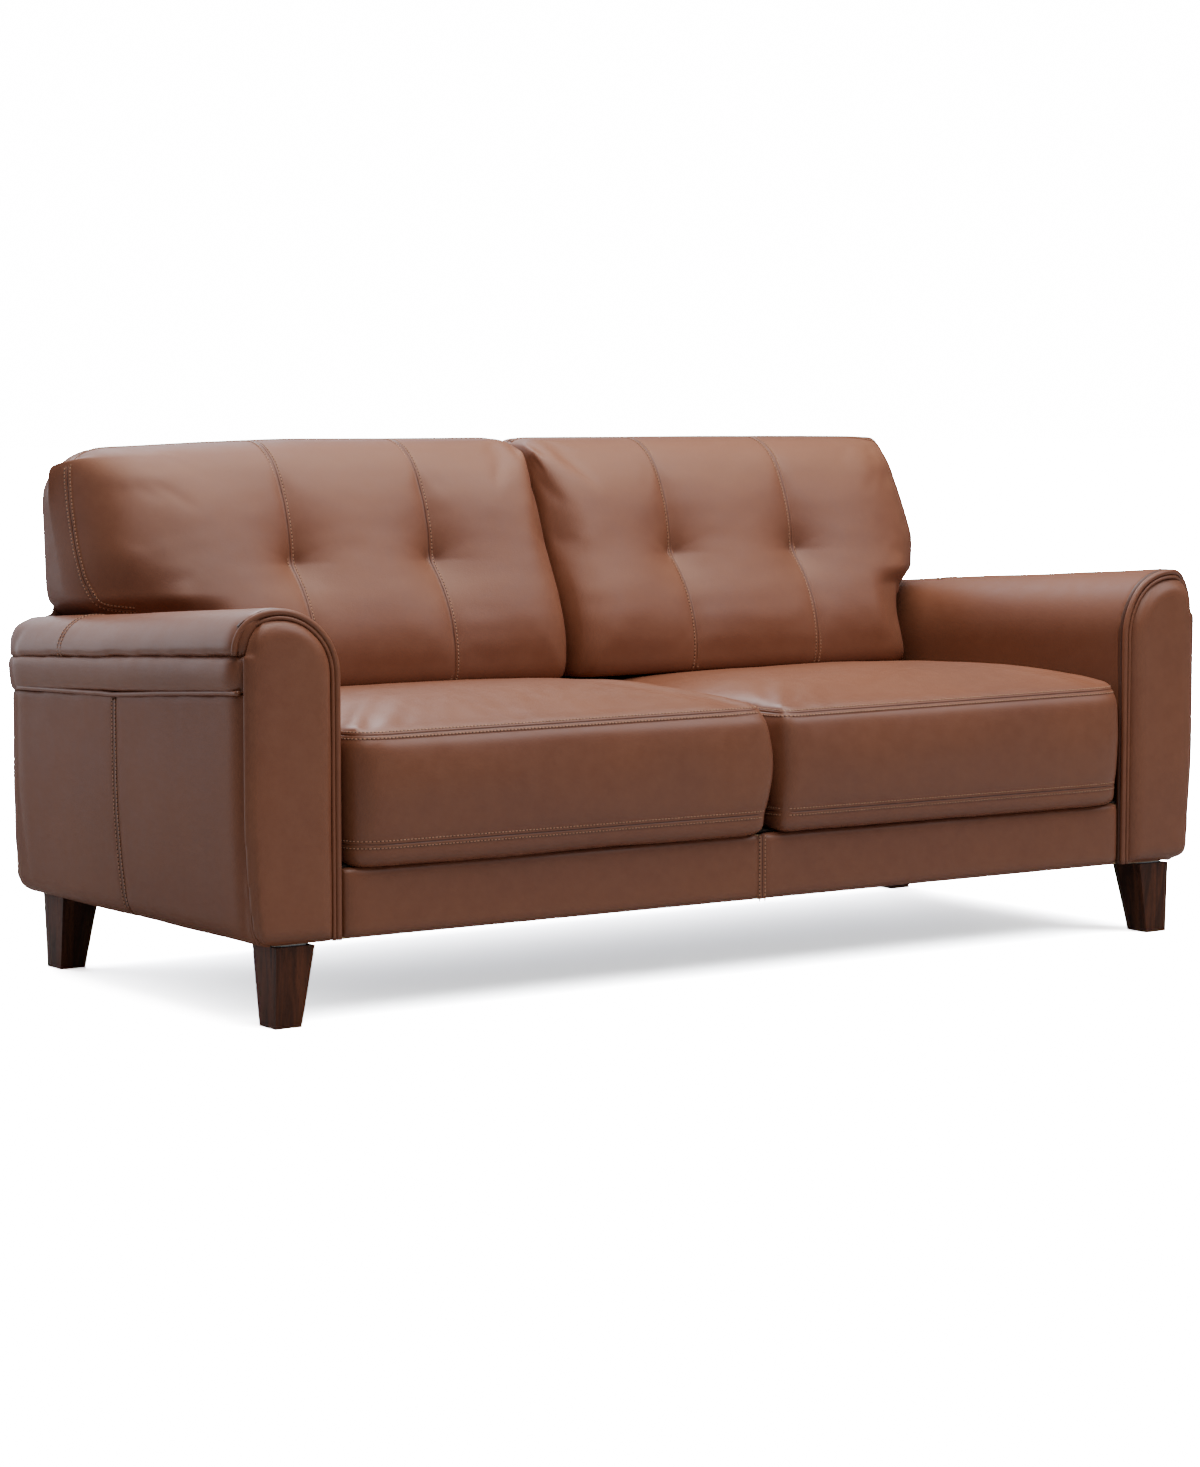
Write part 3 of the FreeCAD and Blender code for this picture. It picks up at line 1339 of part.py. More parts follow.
def make_ear_frame():
    """Plywood wing beside the outer back post that carries the ear over the arm."""
    body = new_body("ear_frame")
    front = f"({ARM_REAR} - Sizes.ply)"
    sketch = sketch_on(body, "XZ_Plane", f"-{front}")
    inner = f"({OUTER_POST} + Sizes.post_thickness / 2)"
    outer = TOP_RAIL_REACH
    foot = "(Sizes.arm_height - Sizes.ear_frame_drop)"
    radius = "Sizes.ear_frame_corner"
    draw_outline(
        sketch,
        [
            (inner, foot),
            (f"{outer} - {radius}", foot, radius, 1),
            (outer, f"{foot} + {radius}"),
            (outer, TOP_RAIL_FOOT),
            (inner, TOP_RAIL_FOOT),
        ],
    )
    pad_along_y(body, sketch, "Sizes.ply")
    pair(body, "ear_frame")


def make_back_webbing():
    """Upright elastic straps on the back frame with level straps woven through them."""
    width = number("Sizes.back_strap_width")
    thickness = number("Sizes.strap_thickness")
    lift = thickness + number("Sizes.weave_gap")
    face = number(POST_FACE)
    lap = number("Sizes.strap_lap")
    low = number("Sizes.mid_rail_at") + lap
    high = number(TOP_RAIL_TOP) - lap
    reach = number(f"{OUTER_POST} + Sizes.post_thickness / 2") - lap
    upright_at = spread(-reach, reach, BACK_STRAPS)
    level_at = spread(number("Sizes.mid_rail_at + Sizes.mid_rail_height"), high, BACK_CROSS_STRAPS)
    uprights = []
    for index, across in enumerate(upright_at):
        path = woven_path(low, high, level_at, index % 2, width, 0, lift)
        uprights.append(lean(strap(across, path, width, thickness), face))
    levels = []
    for index, up in enumerate(level_at):
        path = woven_path(-reach, reach, upright_at, (index + 1) % 2, width, 0, lift)
        levels.append(lean(strap(up, path, width, thickness, along_x=True), face))
    strap_feature("back_upright_straps", uprights)
    strap_feature("back_level_straps", levels)


def lean(solid, face):
    """Stand a flat-lying strap up against the front of the back frame."""
    solid.rotate(Vector(), Vector(1, 0, 0), 90)
    solid.translate(Vector(0, face, 0))
    return solid


def make_outside_back():
    """One panel over the whole rear, stepped in above the arms."""
    body = new_body("outside_back")
    sketch = sketch_on(body, "XZ_Plane", f"-{ARM_REAR}")
    edge = "Sizes.back_panel_edge"
    crown = f"(Sizes.arm_height - Sizes.arm_drop)"
    shoulder = f"({HALF_WIDTH} - {edge} - {ARM_CROWN})"
    ear = f"({EAR_REACH} - {edge})"
    lip = "(Sizes.overall_height - Sizes.roll_lip - Sizes.soft_gap)"
    outer = f"({HALF_WIDTH} - Sizes.side_setback - {edge})"
    outline = [
        ("0", "Sizes.leg_height"),
        ("0", lip),
        (ear, lip),
        (ear, crown),
        (outer, f"{crown} - {outer} + {ear}"),
    ]
    outline += side_edge(edge)
    draw_outline(sketch, outline)
    half = pad_along_y(body, sketch, "Sizes.back_panel_thickness")
    whole = body.newObject("PartDesign::Mirrored", "outside_back_whole")
    whole.Originals = [half]
    plane = next(item for item in body.Origin.OriginFeatures if item.Role == "YZ_Plane")
    whole.MirrorPlane = (plane, [""])
    body.Tip = whole
    keep(body, "outside_back")


make_facing()
make_welt()
make_cap()
make_side_band()
make_side_panel("arm_front_side_panel", CAP_FRONT, "Sizes.side_seam")
make_side_panel("arm_rear_side_panel", "Sizes.side_seam", ARM_REAR)
make_rail_cover()
make_arm_frame("arm_front_frame", CAP_FRONT)
make_arm_frame("arm_rear_frame", POST_REAR)
make_seat_frame()
make_corner_blocks()
make_arm_rails()
make_legs()
make_leg_fixings()
make_seat_webbing()
make_deck_pad()
make_dust_cover()
make_seat_cushions()
make_back_cushions()
make_back_posts()
make_ear_frame()
make_back_webbing()
make_outside_back()
doc.recompute()

for item in doc.Objects:
    if "Invalid" in item.State or "Error" in item.State:
        raise RuntimeError(f"{item.Name} failed: {item.State}")
for piece in sub_parts:
    if piece.Shape.isNull() or not piece.Shape.isValid() or not piece.Shape.Solids:
        raise RuntimeError(f"{piece.Label} has no valid solid")

os.makedirs("parts", exist_ok=True)
for piece in sub_parts:
    piece.Shape.exportStep(f"parts/{piece.Label}.step")
print(f"{len(sub_parts)} sub-parts written")
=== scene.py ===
"""Three-seat leather sofa: its looks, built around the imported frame.

Metres, +Z up, +X along the seat, the front faces -Y, and the floor is at Z = 0.
"""

import json
import math

import bmesh
import bpy
import numpy as np
from mathutils import Matrix, Vector, noise
from mathutils.bvhtree import BVHTree


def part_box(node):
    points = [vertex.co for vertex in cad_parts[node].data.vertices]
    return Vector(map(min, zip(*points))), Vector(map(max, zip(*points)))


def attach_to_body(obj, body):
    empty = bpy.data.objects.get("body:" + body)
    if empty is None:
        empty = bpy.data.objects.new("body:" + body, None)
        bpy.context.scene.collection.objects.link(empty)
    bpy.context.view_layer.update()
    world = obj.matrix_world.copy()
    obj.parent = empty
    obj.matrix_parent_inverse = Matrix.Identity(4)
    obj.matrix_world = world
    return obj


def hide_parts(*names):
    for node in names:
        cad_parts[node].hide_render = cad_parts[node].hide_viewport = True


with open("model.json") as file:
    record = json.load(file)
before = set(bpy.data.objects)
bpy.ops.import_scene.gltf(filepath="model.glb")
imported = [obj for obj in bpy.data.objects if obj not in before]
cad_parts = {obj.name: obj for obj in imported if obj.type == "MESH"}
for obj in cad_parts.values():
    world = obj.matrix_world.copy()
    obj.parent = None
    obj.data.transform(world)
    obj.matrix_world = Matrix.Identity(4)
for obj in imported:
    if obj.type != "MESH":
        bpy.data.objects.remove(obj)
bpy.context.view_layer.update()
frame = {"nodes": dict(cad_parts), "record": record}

SIDES = (("left", -1), ("right", 1))


# Shader nodes


def put(tree, socket, value):
    """Links a value into a socket, or sets it there if it is a constant."""
    if isinstance(value, bpy.types.NodeSocket):
        tree.links.new(value, socket)
    elif socket.type == "RGBA" and len(value) == 3:
        socket.default_value = (*value, 1.0)
    else:
        socket.default_value = value


def add_node(tree, kind, **values):
    """A shader node. A name that starts with _ sets a property, and any other an input."""
    node = tree.nodes.new(kind)
    for name, value in values.items():
        if name.startswith("_"):
            setattr(node, name[1:], value)
        else:
            put(tree, node.inputs[name], value)
    return node


def arithmetic(tree, operation, *values):
    """A Math node's result."""
    node = add_node(tree, "ShaderNodeMath", _operation=operation)
    for socket, value in zip(node.inputs, values):
        put(tree, socket, value)
    return node.outputs[0]


def blend_colour(tree, amount, first, second):
    """One colour turned towards another."""
    node = add_node(tree, "ShaderNodeMix", _data_type="RGBA")
    for index, value in ((0, amount), (6, first), (7, second)):
        put(tree, node.inputs[index], value)
    return node.outputs[2]


def span(tree, value, low, high, to_low=0.0, to_high=1.0):
    """A value mapped smoothly from one range to another."""
    node = add_node(tree, "ShaderNodeMapRange", _interpolation_type="SMOOTHSTEP")
    for socket, number in zip(node.inputs, (value, low, high, to_low, to_high)):
        put(tree, socket, number)
    return node.outputs[0]


def object_place(tree):
    """Where a point is on its object, in metres."""
    return add_node(tree, "ShaderNodeTexCoord").outputs["Object"]


def painted(tree, name):
    """The value painted on a piece under this name."""
    return add_node(tree, "ShaderNodeAttribute", _attribute_name=name).outputs["Fac"]


def new_group(name, inputs, outputs):
    """An empty node group with its sockets, and its input and output nodes."""
    tree = bpy.data.node_groups.new(name, "ShaderNodeTree")
    for label, kind, value in inputs:
        socket = tree.interface.new_socket(name=label, in_out="INPUT", socket_type=kind)
        socket.default_value = value
    for label in outputs:
        tree.interface.new_socket(name=label, in_out="OUTPUT", socket_type="NodeSocketFloat")
    return tree, tree.nodes.new("NodeGroupInput").outputs, tree.nodes.new("NodeGroupOutput").inputs


def place_group(tree, group, **values):
    """A group placed in a material, reading the object's own coordinates."""
    place = object_place(tree)
    return add_node(tree, "ShaderNodeGroup", _node_tree=group, Place=place, **values).outputs


def cloudy(tree, place, rate, detail, roughness=0.5, distortion=0.0):
    """The value of a noise texture, with so many clouds to a metre."""
    values = {"Scale": rate, "Detail": detail, "Roughness": roughness, "Distortion": distortion}
    return add_node(tree, "ShaderNodeTexNoise", Vector=place, **values).outputs[0]


def new_material(name, gloss=0.5):
    """A material with a Principled shader, and its tree."""
    material = bpy.data.materials.new(name)
    material.use_nodes = True
    tree = material.node_tree
    tree.nodes.clear()
    shader = tree.nodes.new("ShaderNodeBsdfPrincipled")
    shader.inputs["Specular IOR Level"].default_value = gloss
    output = tree.nodes.new("ShaderNodeOutputMaterial")
    tree.links.new(shader.outputs[0], output.inputs[0])
    return material, tree, shader.inputs


def vary_roughness(tree, shader, value, spread, least):
    """Roughness that goes up from its least value by the spread."""
    put(tree, shader["Roughness"], arithmetic(tree, "MULTIPLY_ADD", value, spread, least))


def raise_surface(tree, shader, height, strength, distance):
    """A fine relief from a height."""
    bump = add_node(tree, "ShaderNodeBump", Strength=strength, Distance=distance, Height=height)
    put(tree, shader["Normal"], bump.outputs[0])


# Finishes

PLACE_INPUT = ("Place", "NodeSocketVector", (0, 0, 0))
CHESTNUT = (0.222, 0.077, 0.036)
# Plum tint laid in slow random clouds: a painted cool sheen
SHEEN_PLUM = (0.162, 0.060, 0.037)
# Tan: the hide's own lighter tone in its random mottle, and the painted highlight on the crowns
TAN = (0.345, 0.150, 0.078)
# Dark brown for painted shade in creases, seam grooves, needle holes and gaps
PAINTED_SHADE_BROWN = tuple(part * 0.3 for part in CHESTNUT)
PEBBLE_SIZE = 0.0017


def hide_grain_group():
    """Fine pebbled grain and mottling of a full-grain hide, and slow clouds for a painted cool
    sheen.
    """
    inputs = [PLACE_INPUT, ("Pebble", "NodeSocketFloat", PEBBLE_SIZE)]
    tree, source, result = new_group("hide_grain", inputs, ("Height", "Mottle", "SheenCloud"))
    place = source["Place"]
    rate = arithmetic(tree, "DIVIDE", 1.0, source["Pebble"])
    pebbles = add_node(tree, "ShaderNodeTexVoronoi", _feature="SMOOTH_F1", Vector=place, Scale=rate)
    creases = cloudy(tree, place, 240.0, 3.0, 0.6)
    mottle = cloudy(tree, place, 34.0, 4.0, 0.62)
    sheen_cloud = cloudy(tree, place, 3.1, 2.5)
    grain = arithmetic(tree, "MULTIPLY", pebbles.outputs["Distance"], -0.55)
    put(tree, result["Height"], arithmetic(tree, "ADD", grain, creases))
    put(tree, result["Mottle"], span(tree, mottle, 0.3, 0.7))
    put(tree, result["SheenCloud"], span(tree, sheen_cloud, 0.3, 0.7))
    return tree


def wood_grain_group():
    """Streaks and pores that run up a piece."""
    tree, source, result = new_group("wood_grain", [PLACE_INPUT], ("Streak", "Pore", "Height"))
    stretch = add_node(tree, "ShaderNodeMapping", Vector=source["Place"], Scale=(1.0, 1.0, 0.07))
    upward = stretch.outputs[0]
    waves = cloudy(tree, upward, 42.0, 5.0, 0.65, 0.6)
    pores = cloudy(tree, upward, 900.0, 2.0)
    put(tree, result["Streak"], span(tree, waves, 0.34, 0.68))
    put(tree, result["Pore"], span(tree, pores, 0.56, 0.7))
    put(tree, result["Height"], pores)
    return tree


def weave_group():
    """Threads of a cloth, or cells of a foam, and a slow change of tone over them."""
    inputs = [PLACE_INPUT, ("Thread", "NodeSocketFloat", 0.001)]
    tree, source, result = new_group("weave", inputs, ("Height", "Tone"))
    place = source["Place"]
    rate = arithmetic(tree, "DIVIDE", 1.0, source["Thread"])
    slow_rate = arithmetic(tree, "DIVIDE", 0.12, source["Thread"])
    threads = add_node(tree, "ShaderNodeTexVoronoi", Vector=place, Scale=rate)
    tone = cloudy(tree, place, slow_rate, 3.0)
    put(tree, result["Height"], threads.outputs["Distance"])
    put(tree, result["Tone"], span(tree, tone, 0.3, 0.7))
    return tree


hide_grain = hide_grain_group()
wood_grain = wood_grain_group()
weave = weave_group()


def leather(name, roughness, gloss=0.5):
    """Pigmented hide: chestnut with random tan mottle, painted shade in the folds, a painted
    highlight in tan on the crowns and a painted plum sheen in slow clouds, with a satin finish.
    """
    material, tree, shader = new_material(name, gloss)
    grain = place_group(tree, hide_grain, Pebble=PEBBLE_SIZE)
    # Over chestnut: plum clouds (painted sheen), tan mottle (the hide's own), tan crowns (painted
    # highlight), dark brown folds (painted shade)
    tints = (
        (grain["SheenCloud"], 0.4, SHEEN_PLUM),
        (grain["Mottle"], 0.09, TAN),
        (painted(tree, "crown"), 0.5, TAN),
        (painted(tree, "fold"), 0.8, PAINTED_SHADE_BROWN),
    )
    colour = CHESTNUT
    for share, strength, tint in tints:
        colour = blend_colour(tree, arithmetic(tree, "MULTIPLY", share, strength), colour, tint)
    put(tree, shader["Base Color"], colour)
    vary_roughness(tree, shader, grain["Mottle"], 0.06, roughness - 0.03)
    raise_surface(tree, shader, grain["Height"], 0.22, 0.0006)
    return material


def stained_wood(name, dark, bright, roughness, gloss=0.5):
    """Wood with its grain running up the piece."""
    material, tree, shader = new_material(name, gloss)
    grain = place_group(tree, wood_grain)
    colour = blend_colour(tree, grain["Streak"], dark, bright)
    colour = blend_colour(tree, arithmetic(tree, "MULTIPLY", grain["Pore"], 0.45), colour, dark)
    put(tree, shader["Base Color"], colour)
    vary_roughness(tree, shader, grain["Pore"], 0.18, roughness)
    raise_surface(tree, shader, grain["Height"], 0.15, 0.0004)
    return material


def cloth(name, colour, other, thread_size):
    """Plain woven cloth, or felt and foam where the thread is coarse."""
    material, tree, shader = new_material(name)
    threads = place_group(tree, weave, Thread=thread_size)
    put(tree, shader["Base Color"], blend_colour(tree, threads["Tone"], colour, other))
    vary_roughness(tree, shader, threads["Tone"], 0.06, 0.87)
    raise_surface(tree, shader, threads["Height"], 0.4, 0.0005)
    return material


def zinc_steel(name):
    """Zinc-plated steel with its crystal spangle."""
    material, tree, shader = new_material(name)
    spangle = add_node(tree, "ShaderNodeTexVoronoi", Vector=object_place(tree), Scale=160.0)
    tone = span(tree, spangle.outputs["Distance"], 0.1, 0.7)
    put(tree, shader["Base Color"], blend_colour(tree, tone, (0.55, 0.56, 0.57), (0.7, 0.7, 0.69)))
    vary_roughness(tree, shader, tone, 0.15, 0.3)
    shader["Metallic"].default_value = 1.0
    return material


def waxed_thread(name):
    """Sewing thread, a shade lighter than the leather, and the needle holes beside it in near
    black, painted shade.
    """
    material, tree, shader = new_material(name)
    twist = cloudy(tree, object_place(tree), 900.0, 2.0)
    tone = span(tree, twist, 0.35, 0.65)
    colour = blend_colour(tree, tone, (0.36, 0.17, 0.09), (0.5, 0.27, 0.16))
    # Needle holes turn near black: painted shade
    colour = blend_colour(tree, painted(tree, "fold"), colour, (0.045, 0.014, 0.008))
    put(tree, shader["Base Color"], colour)
    shader["Roughness"].default_value = 0.6
    return material


hide = leather("chestnut_leather", 0.43)
seat_hide = leather("chestnut_seat_leather", 0.41)
back_hide = leather("chestnut_back_leather", 0.52)
cap_hide = leather("chestnut_arm_leather", 0.37)
side_hide = leather("chestnut_side_leather", 0.55, gloss=0.38)
thread = waxed_thread("waxed_thread")
NODE_FINISHES = {
    "tan_leather": hide,
    "leg_wood": stained_wood(
        "walnut_stained_leg", (0.040, 0.012, 0.005), (0.125, 0.037, 0.014), 0.54, gloss=0.3
    ),
    "frame_timber": stained_wood("sawn_pine", (0.42, 0.27, 0.14), (0.62, 0.44, 0.25), 0.62),
    "plywood": stained_wood("birch_plywood", (0.5, 0.36, 0.21), (0.66, 0.5, 0.32), 0.6),
    "hardboard": stained_wood("pressed_board", (0.12, 0.07, 0.035), (0.18, 0.11, 0.06), 0.55),
    "fixing_steel": zinc_steel("zinc_plate"),
    "webbing": cloth("black_elastic_webbing", (0.01, 0.01, 0.011), (0.02, 0.02, 0.022), 0.0012),
    # Deck felt made near black so the gap under the seats reads as shade: painted shade
    "deck_felt": cloth("shade_dark_deck_felt", (0.035, 0.026, 0.02), (0.025, 0.018, 0.014), 0.002),
    "seat_foam": cloth("seat_foam", (0.75, 0.7, 0.5), (0.68, 0.63, 0.44), 0.0015),
    "cushion_fibre": cloth("cushion_fibre", (0.8, 0.79, 0.75), (0.72, 0.71, 0.67), 0.003),
    "dust_cloth": cloth("black_dust_cloth", (0.008, 0.008, 0.008), (0.014, 0.014, 0.014), 0.0008),
}
for row in frame["record"]["subparts"]:
    slots = frame["nodes"][row["node"]].data.materials
    slots.clear()
    slots.append(NODE_FINISHES[row["material_slot"]])


# Meshes


def slab(outline, low, high, axis):
    """A closed prism: a flat outline of two coordinates, drawn out along the third axis."""
    others = [index for index in range(3) if index != axis]
    bm = bmesh.new()
    ring = []
    for pair in outline:
        place = [0.0, 0.0, 0.0]
        place[axis] = low
        for index, value in zip(others, pair):
            place[index] = value
        ring.append(bm.verts.new(place))
    face = bm.faces.new(ring)
    moved = bmesh.ops.extrude_face_region(bm, geom=[face])["geom"]
    shift = [0.0, 0.0, 0.0]
    shift[axis] = high - low
    tops = [item for item in moved if isinstance(item, bmesh.types.BMVert)]
    bmesh.ops.translate(bm, vec=shift, verts=tops)
    bmesh.ops.recalc_face_normals(bm, faces=bm.faces)
    return bm


def arc(centre, radius, start, end, steps):
    """Points on an arc of a flat outline, angles in degrees."""
    points = []
    for index in range(steps + 1):
        angle = math.radians(start + (end - start) * index / steps)
        points.append((centre[0] + radius * math.cos(angle), centre[1] + radius * math.sin(angle)))
    return points


def place_mesh(name, bm, material):
    """A finished bmesh as an object at the origin, with its finish."""
    mesh = bpy.data.meshes.new(name)
    bm.to_mesh(mesh)
    bm.free()
    mesh.materials.append(material)
    piece = bpy.data.objects.new(name, mesh)
    bpy.context.scene.collection.objects.link(piece)
    mesh.shade_smooth()
    return piece


def points_of(piece):
    """The piece's points as rows of X, Y and Z."""
    co = np.empty(len(piece.data.vertices) * 3, np.float64)
    piece.data.vertices.foreach_get("co", co)
    return co.reshape(-1, 3)


def set_points(piece, co):
    piece.data.vertices.foreach_set("co", co.reshape(-1))
    piece.data.update()


def normals_of(piece):
    no = np.empty(len(piece.data.vertices) * 3, np.float32)
    piece.data.vertex_normals.foreach_get("vector", no)
    return no.reshape(-1, 3).astype(np.float64)


def bake(piece):
    """Applies the piece's modifiers."""
    graph = bpy.context.evaluated_depsgraph_get()
    mesh = bpy.data.meshes.new_from_object(piece.evaluated_get(graph))
    old = piece.data
    piece.modifiers.clear()
    piece.data = mesh
    bpy.data.meshes.remove(old)
    mesh.shade_smooth()


def remesh(piece, voxel):
    """Even quads all over the piece."""
    modifier = piece.modifiers.new("even", "REMESH")
    modifier.mode = "VOXEL"
    modifier.voxel_size = voxel
    modifier.use_smooth_shade = True
    bake(piece)


def smoother(piece):
    """Divides each quad into four rounder ones."""
    modifier = piece.modifiers.new("finer", "SUBSURF")
    modifier.levels = 1
    modifier.render_levels = 1
    bake(piece)


def relax(piece, rounds):
    """Softens edges and ripples."""
    bm = bmesh.new()
    bm.from_mesh(piece.data)
    for _ in range(rounds):
        bmesh.ops.smooth_vert(
            bm, verts=bm.verts, factor=0.5, use_axis_x=True, use_axis_y=True, use_axis_z=True
        )
    bm.to_mesh(piece.data)
    bm.free()
    piece.data.update()


def mirrored(piece, sign):
    """Turns a right-hand piece into its left-hand twin where sign is negative."""
    if sign > 0:
        return
    bm = bmesh.new()
    bm.from_mesh(piece.data)
    bmesh.ops.scale(bm, vec=(-1, 1, 1), verts=bm.verts)
    bmesh.ops.reverse_faces(bm, faces=bm.faces)
    bm.to_mesh(piece.data)
    bm.free()


def round_corners(co, *rows):
    """Turns square corners of a block into quarter circles or ellipses.

    A row holds two axes, the centre of the rounding, and its reach from there to the corner.
    """
    for axes, centre, reach in rows:
        local = np.stack([(co[:, axes[i]] - centre[i]) / reach[i] for i in range(2)], axis=1)
        inside = (local > 0).all(axis=1)
        part = local[inside]
        length = np.hypot(part[:, 0], part[:, 1])
        part = part * (part.max(axis=1) / np.maximum(length, 1e-9))[:, None]
        for i in range(2):
            co[inside, axes[i]] = centre[i] + part[:, i] * reach[i]


def bell(distance, width):
    return np.exp(-((distance / width) ** 2))


def ramp(value, low, high):
    """0 below low, 1 above high, with a smooth rise."""
    t = np.clip((value - low) / (high - low), 0, 1)
    return t * t * (3 - 2 * t)


def slow_noise(co, rate, seed, stretch=(1.0, 1.0, 1.0)):
    """Smooth noise of about -1 to 1 at each point."""
    shift = Vector((seed * 7.13, seed * 3.71, seed * 5.29))
    return np.array([noise.noise(Vector(p) * rate + shift) for p in co * np.array(stretch)])


def paint(piece, name, values):
    """A named value at each point, for the finish to read."""
    attribute = piece.data.attributes.new(name, "FLOAT", "POINT")
    attribute.data.foreach_set("value", np.clip(values, 0, 1).astype(np.float32))


def attach(piece):
    """Attaches the piece to the sofa's one body."""
    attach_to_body(piece, "root")


def dress(piece, *nodes, fill):
    """The piece stands for these nodes, as leather over padding."""
    attach(piece)
    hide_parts(*nodes)


# Filling

SIM_FRAMES = 20
FILL_PRESSURE = 3.0
FILL_REACH = 0.016


def add_filling(piece, held):
    """Cloth under pressure from within, held back at each point by a weight from 0 to 1."""
    group = piece.vertex_groups.new(name="held")
    for index, weight in enumerate(held):
        if weight > 0.01:
            group.add([index], float(weight), "REPLACE")
    modifier = piece.modifiers.new("filling", "CLOTH")
    settings = modifier.settings
    settings.quality = 4
    settings.mass = 0.4
    settings.tension_stiffness = 25
    settings.compression_stiffness = 25
    settings.shear_stiffness = 12
    settings.bending_stiffness = 1.2
    settings.air_damping = 2
    settings.use_pressure = True
    settings.uniform_pressure_force = FILL_PRESSURE
    settings.effector_weights.gravity = 0
    settings.vertex_group_mass = "held"
    settings.pin_stiffness = 1
    modifier.collision_settings.use_collision = False
    modifier.point_cache.frame_start = 1
    modifier.point_cache.frame_end = SIM_FRAMES


def inflate(blanks):
    """Blows cushion blanks up, each with its held weights, no point moving past the reach."""
    starts = []
    for piece, held in blanks:
        starts.append(points_of(piece))
        add_filling(piece, held)
    for frame_number in range(1, SIM_FRAMES + 1):
        bpy.context.scene.frame_set(frame_number)
    graph = bpy.context.evaluated_depsgraph_get()
    results = [points_of(piece.evaluated_get(graph)) for piece, held in blanks]
    for (piece, held), start, result in zip(blanks, starts, results):
        move = result - start
        length = np.linalg.norm(move, axis=1)
        limit = FILL_REACH * np.tanh(length / FILL_REACH) / np.maximum(length, 1e-9)
        piece.modifiers.clear()
        piece.vertex_groups.clear()
        set_points(piece, start + move * limit[:, None])
    bpy.context.scene.frame_set(1)


# Seams, cords and stitches

# Corners across a seam, from one side to the other, and how dark each is: painted shade, deepest in
# the groove
SEAM_SECTION = (
    (-0.0098, -0.0012), (-0.0072, 0.0003), (-0.0045, 0.0012), (-0.0022, 0.0016), (-0.0009, 0.0009),
    (0.0, 0.0),
    (0.0009, 0.0009), (0.0022, 0.0016), (0.0045, 0.0012), (0.0072, 0.0003), (0.0098, -0.0012),
)
SEAM_PAINTED_SHADE = (0.0, 0.0, 0.0, 0.0, 0.6, 1.0, 0.6, 0.0, 0.0, 0.0, 0.0)
SEAM_PITCH = 0.006
STITCH_PITCH = 0.0067
STITCH_OFFSETS = (-0.0058, 0.0058)
STITCH_HEIGHT = 0.0011
STITCH = (0.0016, 0.0012, 0.0043)
NEEDLE_HOLE = (0.0015, 0.0010, 0.0020)
HOLE_SINK = 0.0004
CORD_PITCH = 0.008
# How far above its line a point starts to drop onto a surface, and how far it may fall
DROP_START = 0.12
DROP_REACH = 0.3


def marks_along(points, pitch):
    """Each point's distance along the line, and marks on it a pitch apart."""
    step = np.linalg.norm(np.diff(points, axis=0), axis=1)
    run = np.concatenate([[0.0], np.cumsum(step)])
    count = max(2, int(round(run[-1] / pitch)) + 1)
    return run, np.linspace(0, run[-1], count)


def read_at(marks, run, values):
    """The rows of values at the marks, between the places of the run."""
    return np.stack([np.interp(marks, run, column) for column in values.T], axis=1)


def soften_line(points, rounds):
    points = np.array(points, float)
    for _ in range(rounds):
        points[1:-1] = 0.25 * points[:-2] + 0.5 * points[1:-1] + 0.25 * points[2:]
    return points


def tree_of(piece):
    return BVHTree.FromObject(piece, bpy.context.evaluated_depsgraph_get())


def lie_on(trees, points, normals):
    """The points dropped onto a surface against their normals, with the surface's normals there."""
    found = []
    facing = []
    for point, normal in zip(points, normals):
        best = None
        start = Vector(point) + Vector(normal) * DROP_START
        for tree in trees:
            place, out, _, far = tree.ray_cast(start, -Vector(normal), DROP_REACH)
            if place is not None and (best is None or far < best[2]):
                best = (place, out, far)
        if best is None:
            continue
        found.append(best[0])
        facing.append(best[1])
    return np.array(found), np.array(facing)


def lay(trees, line, hints, pitch):
    """A line's points, a pitch apart, dropped onto the trees' surface if there are any."""
    line = np.asarray(line, float)
    run, marks = marks_along(line, pitch)
    points = read_at(marks, run, line)
    shares = np.linspace(0, 1, len(points))
    guide = read_at(shares, np.linspace(0, 1, len(line)), np.asarray(hints, float))
    guide /= np.linalg.norm(guide, axis=1)[:, None]
    return lie_on(trees, points, guide) if trees else (points, guide)


def stations(points, normals, pitch, rounds=2):
    """Places along a line on a surface: X across it, Y away from the surface, Z along it."""
    run, marks = marks_along(points, pitch)
    both = soften_line(read_at(marks, run, np.concatenate([points, normals], axis=1)), rounds)
    places = []
    for spot, step in zip(both, np.gradient(both[:, :3], axis=0)):
        ahead = Vector(step).normalized()
        out = Vector(spot[3:]).normalized()
        out = (out - ahead * out.dot(ahead)).normalized()
        place = Matrix((out.cross(ahead), out, ahead)).transposed().to_4x4()
        place.translation = Vector(spot[:3])
        places.append(place)
    return places


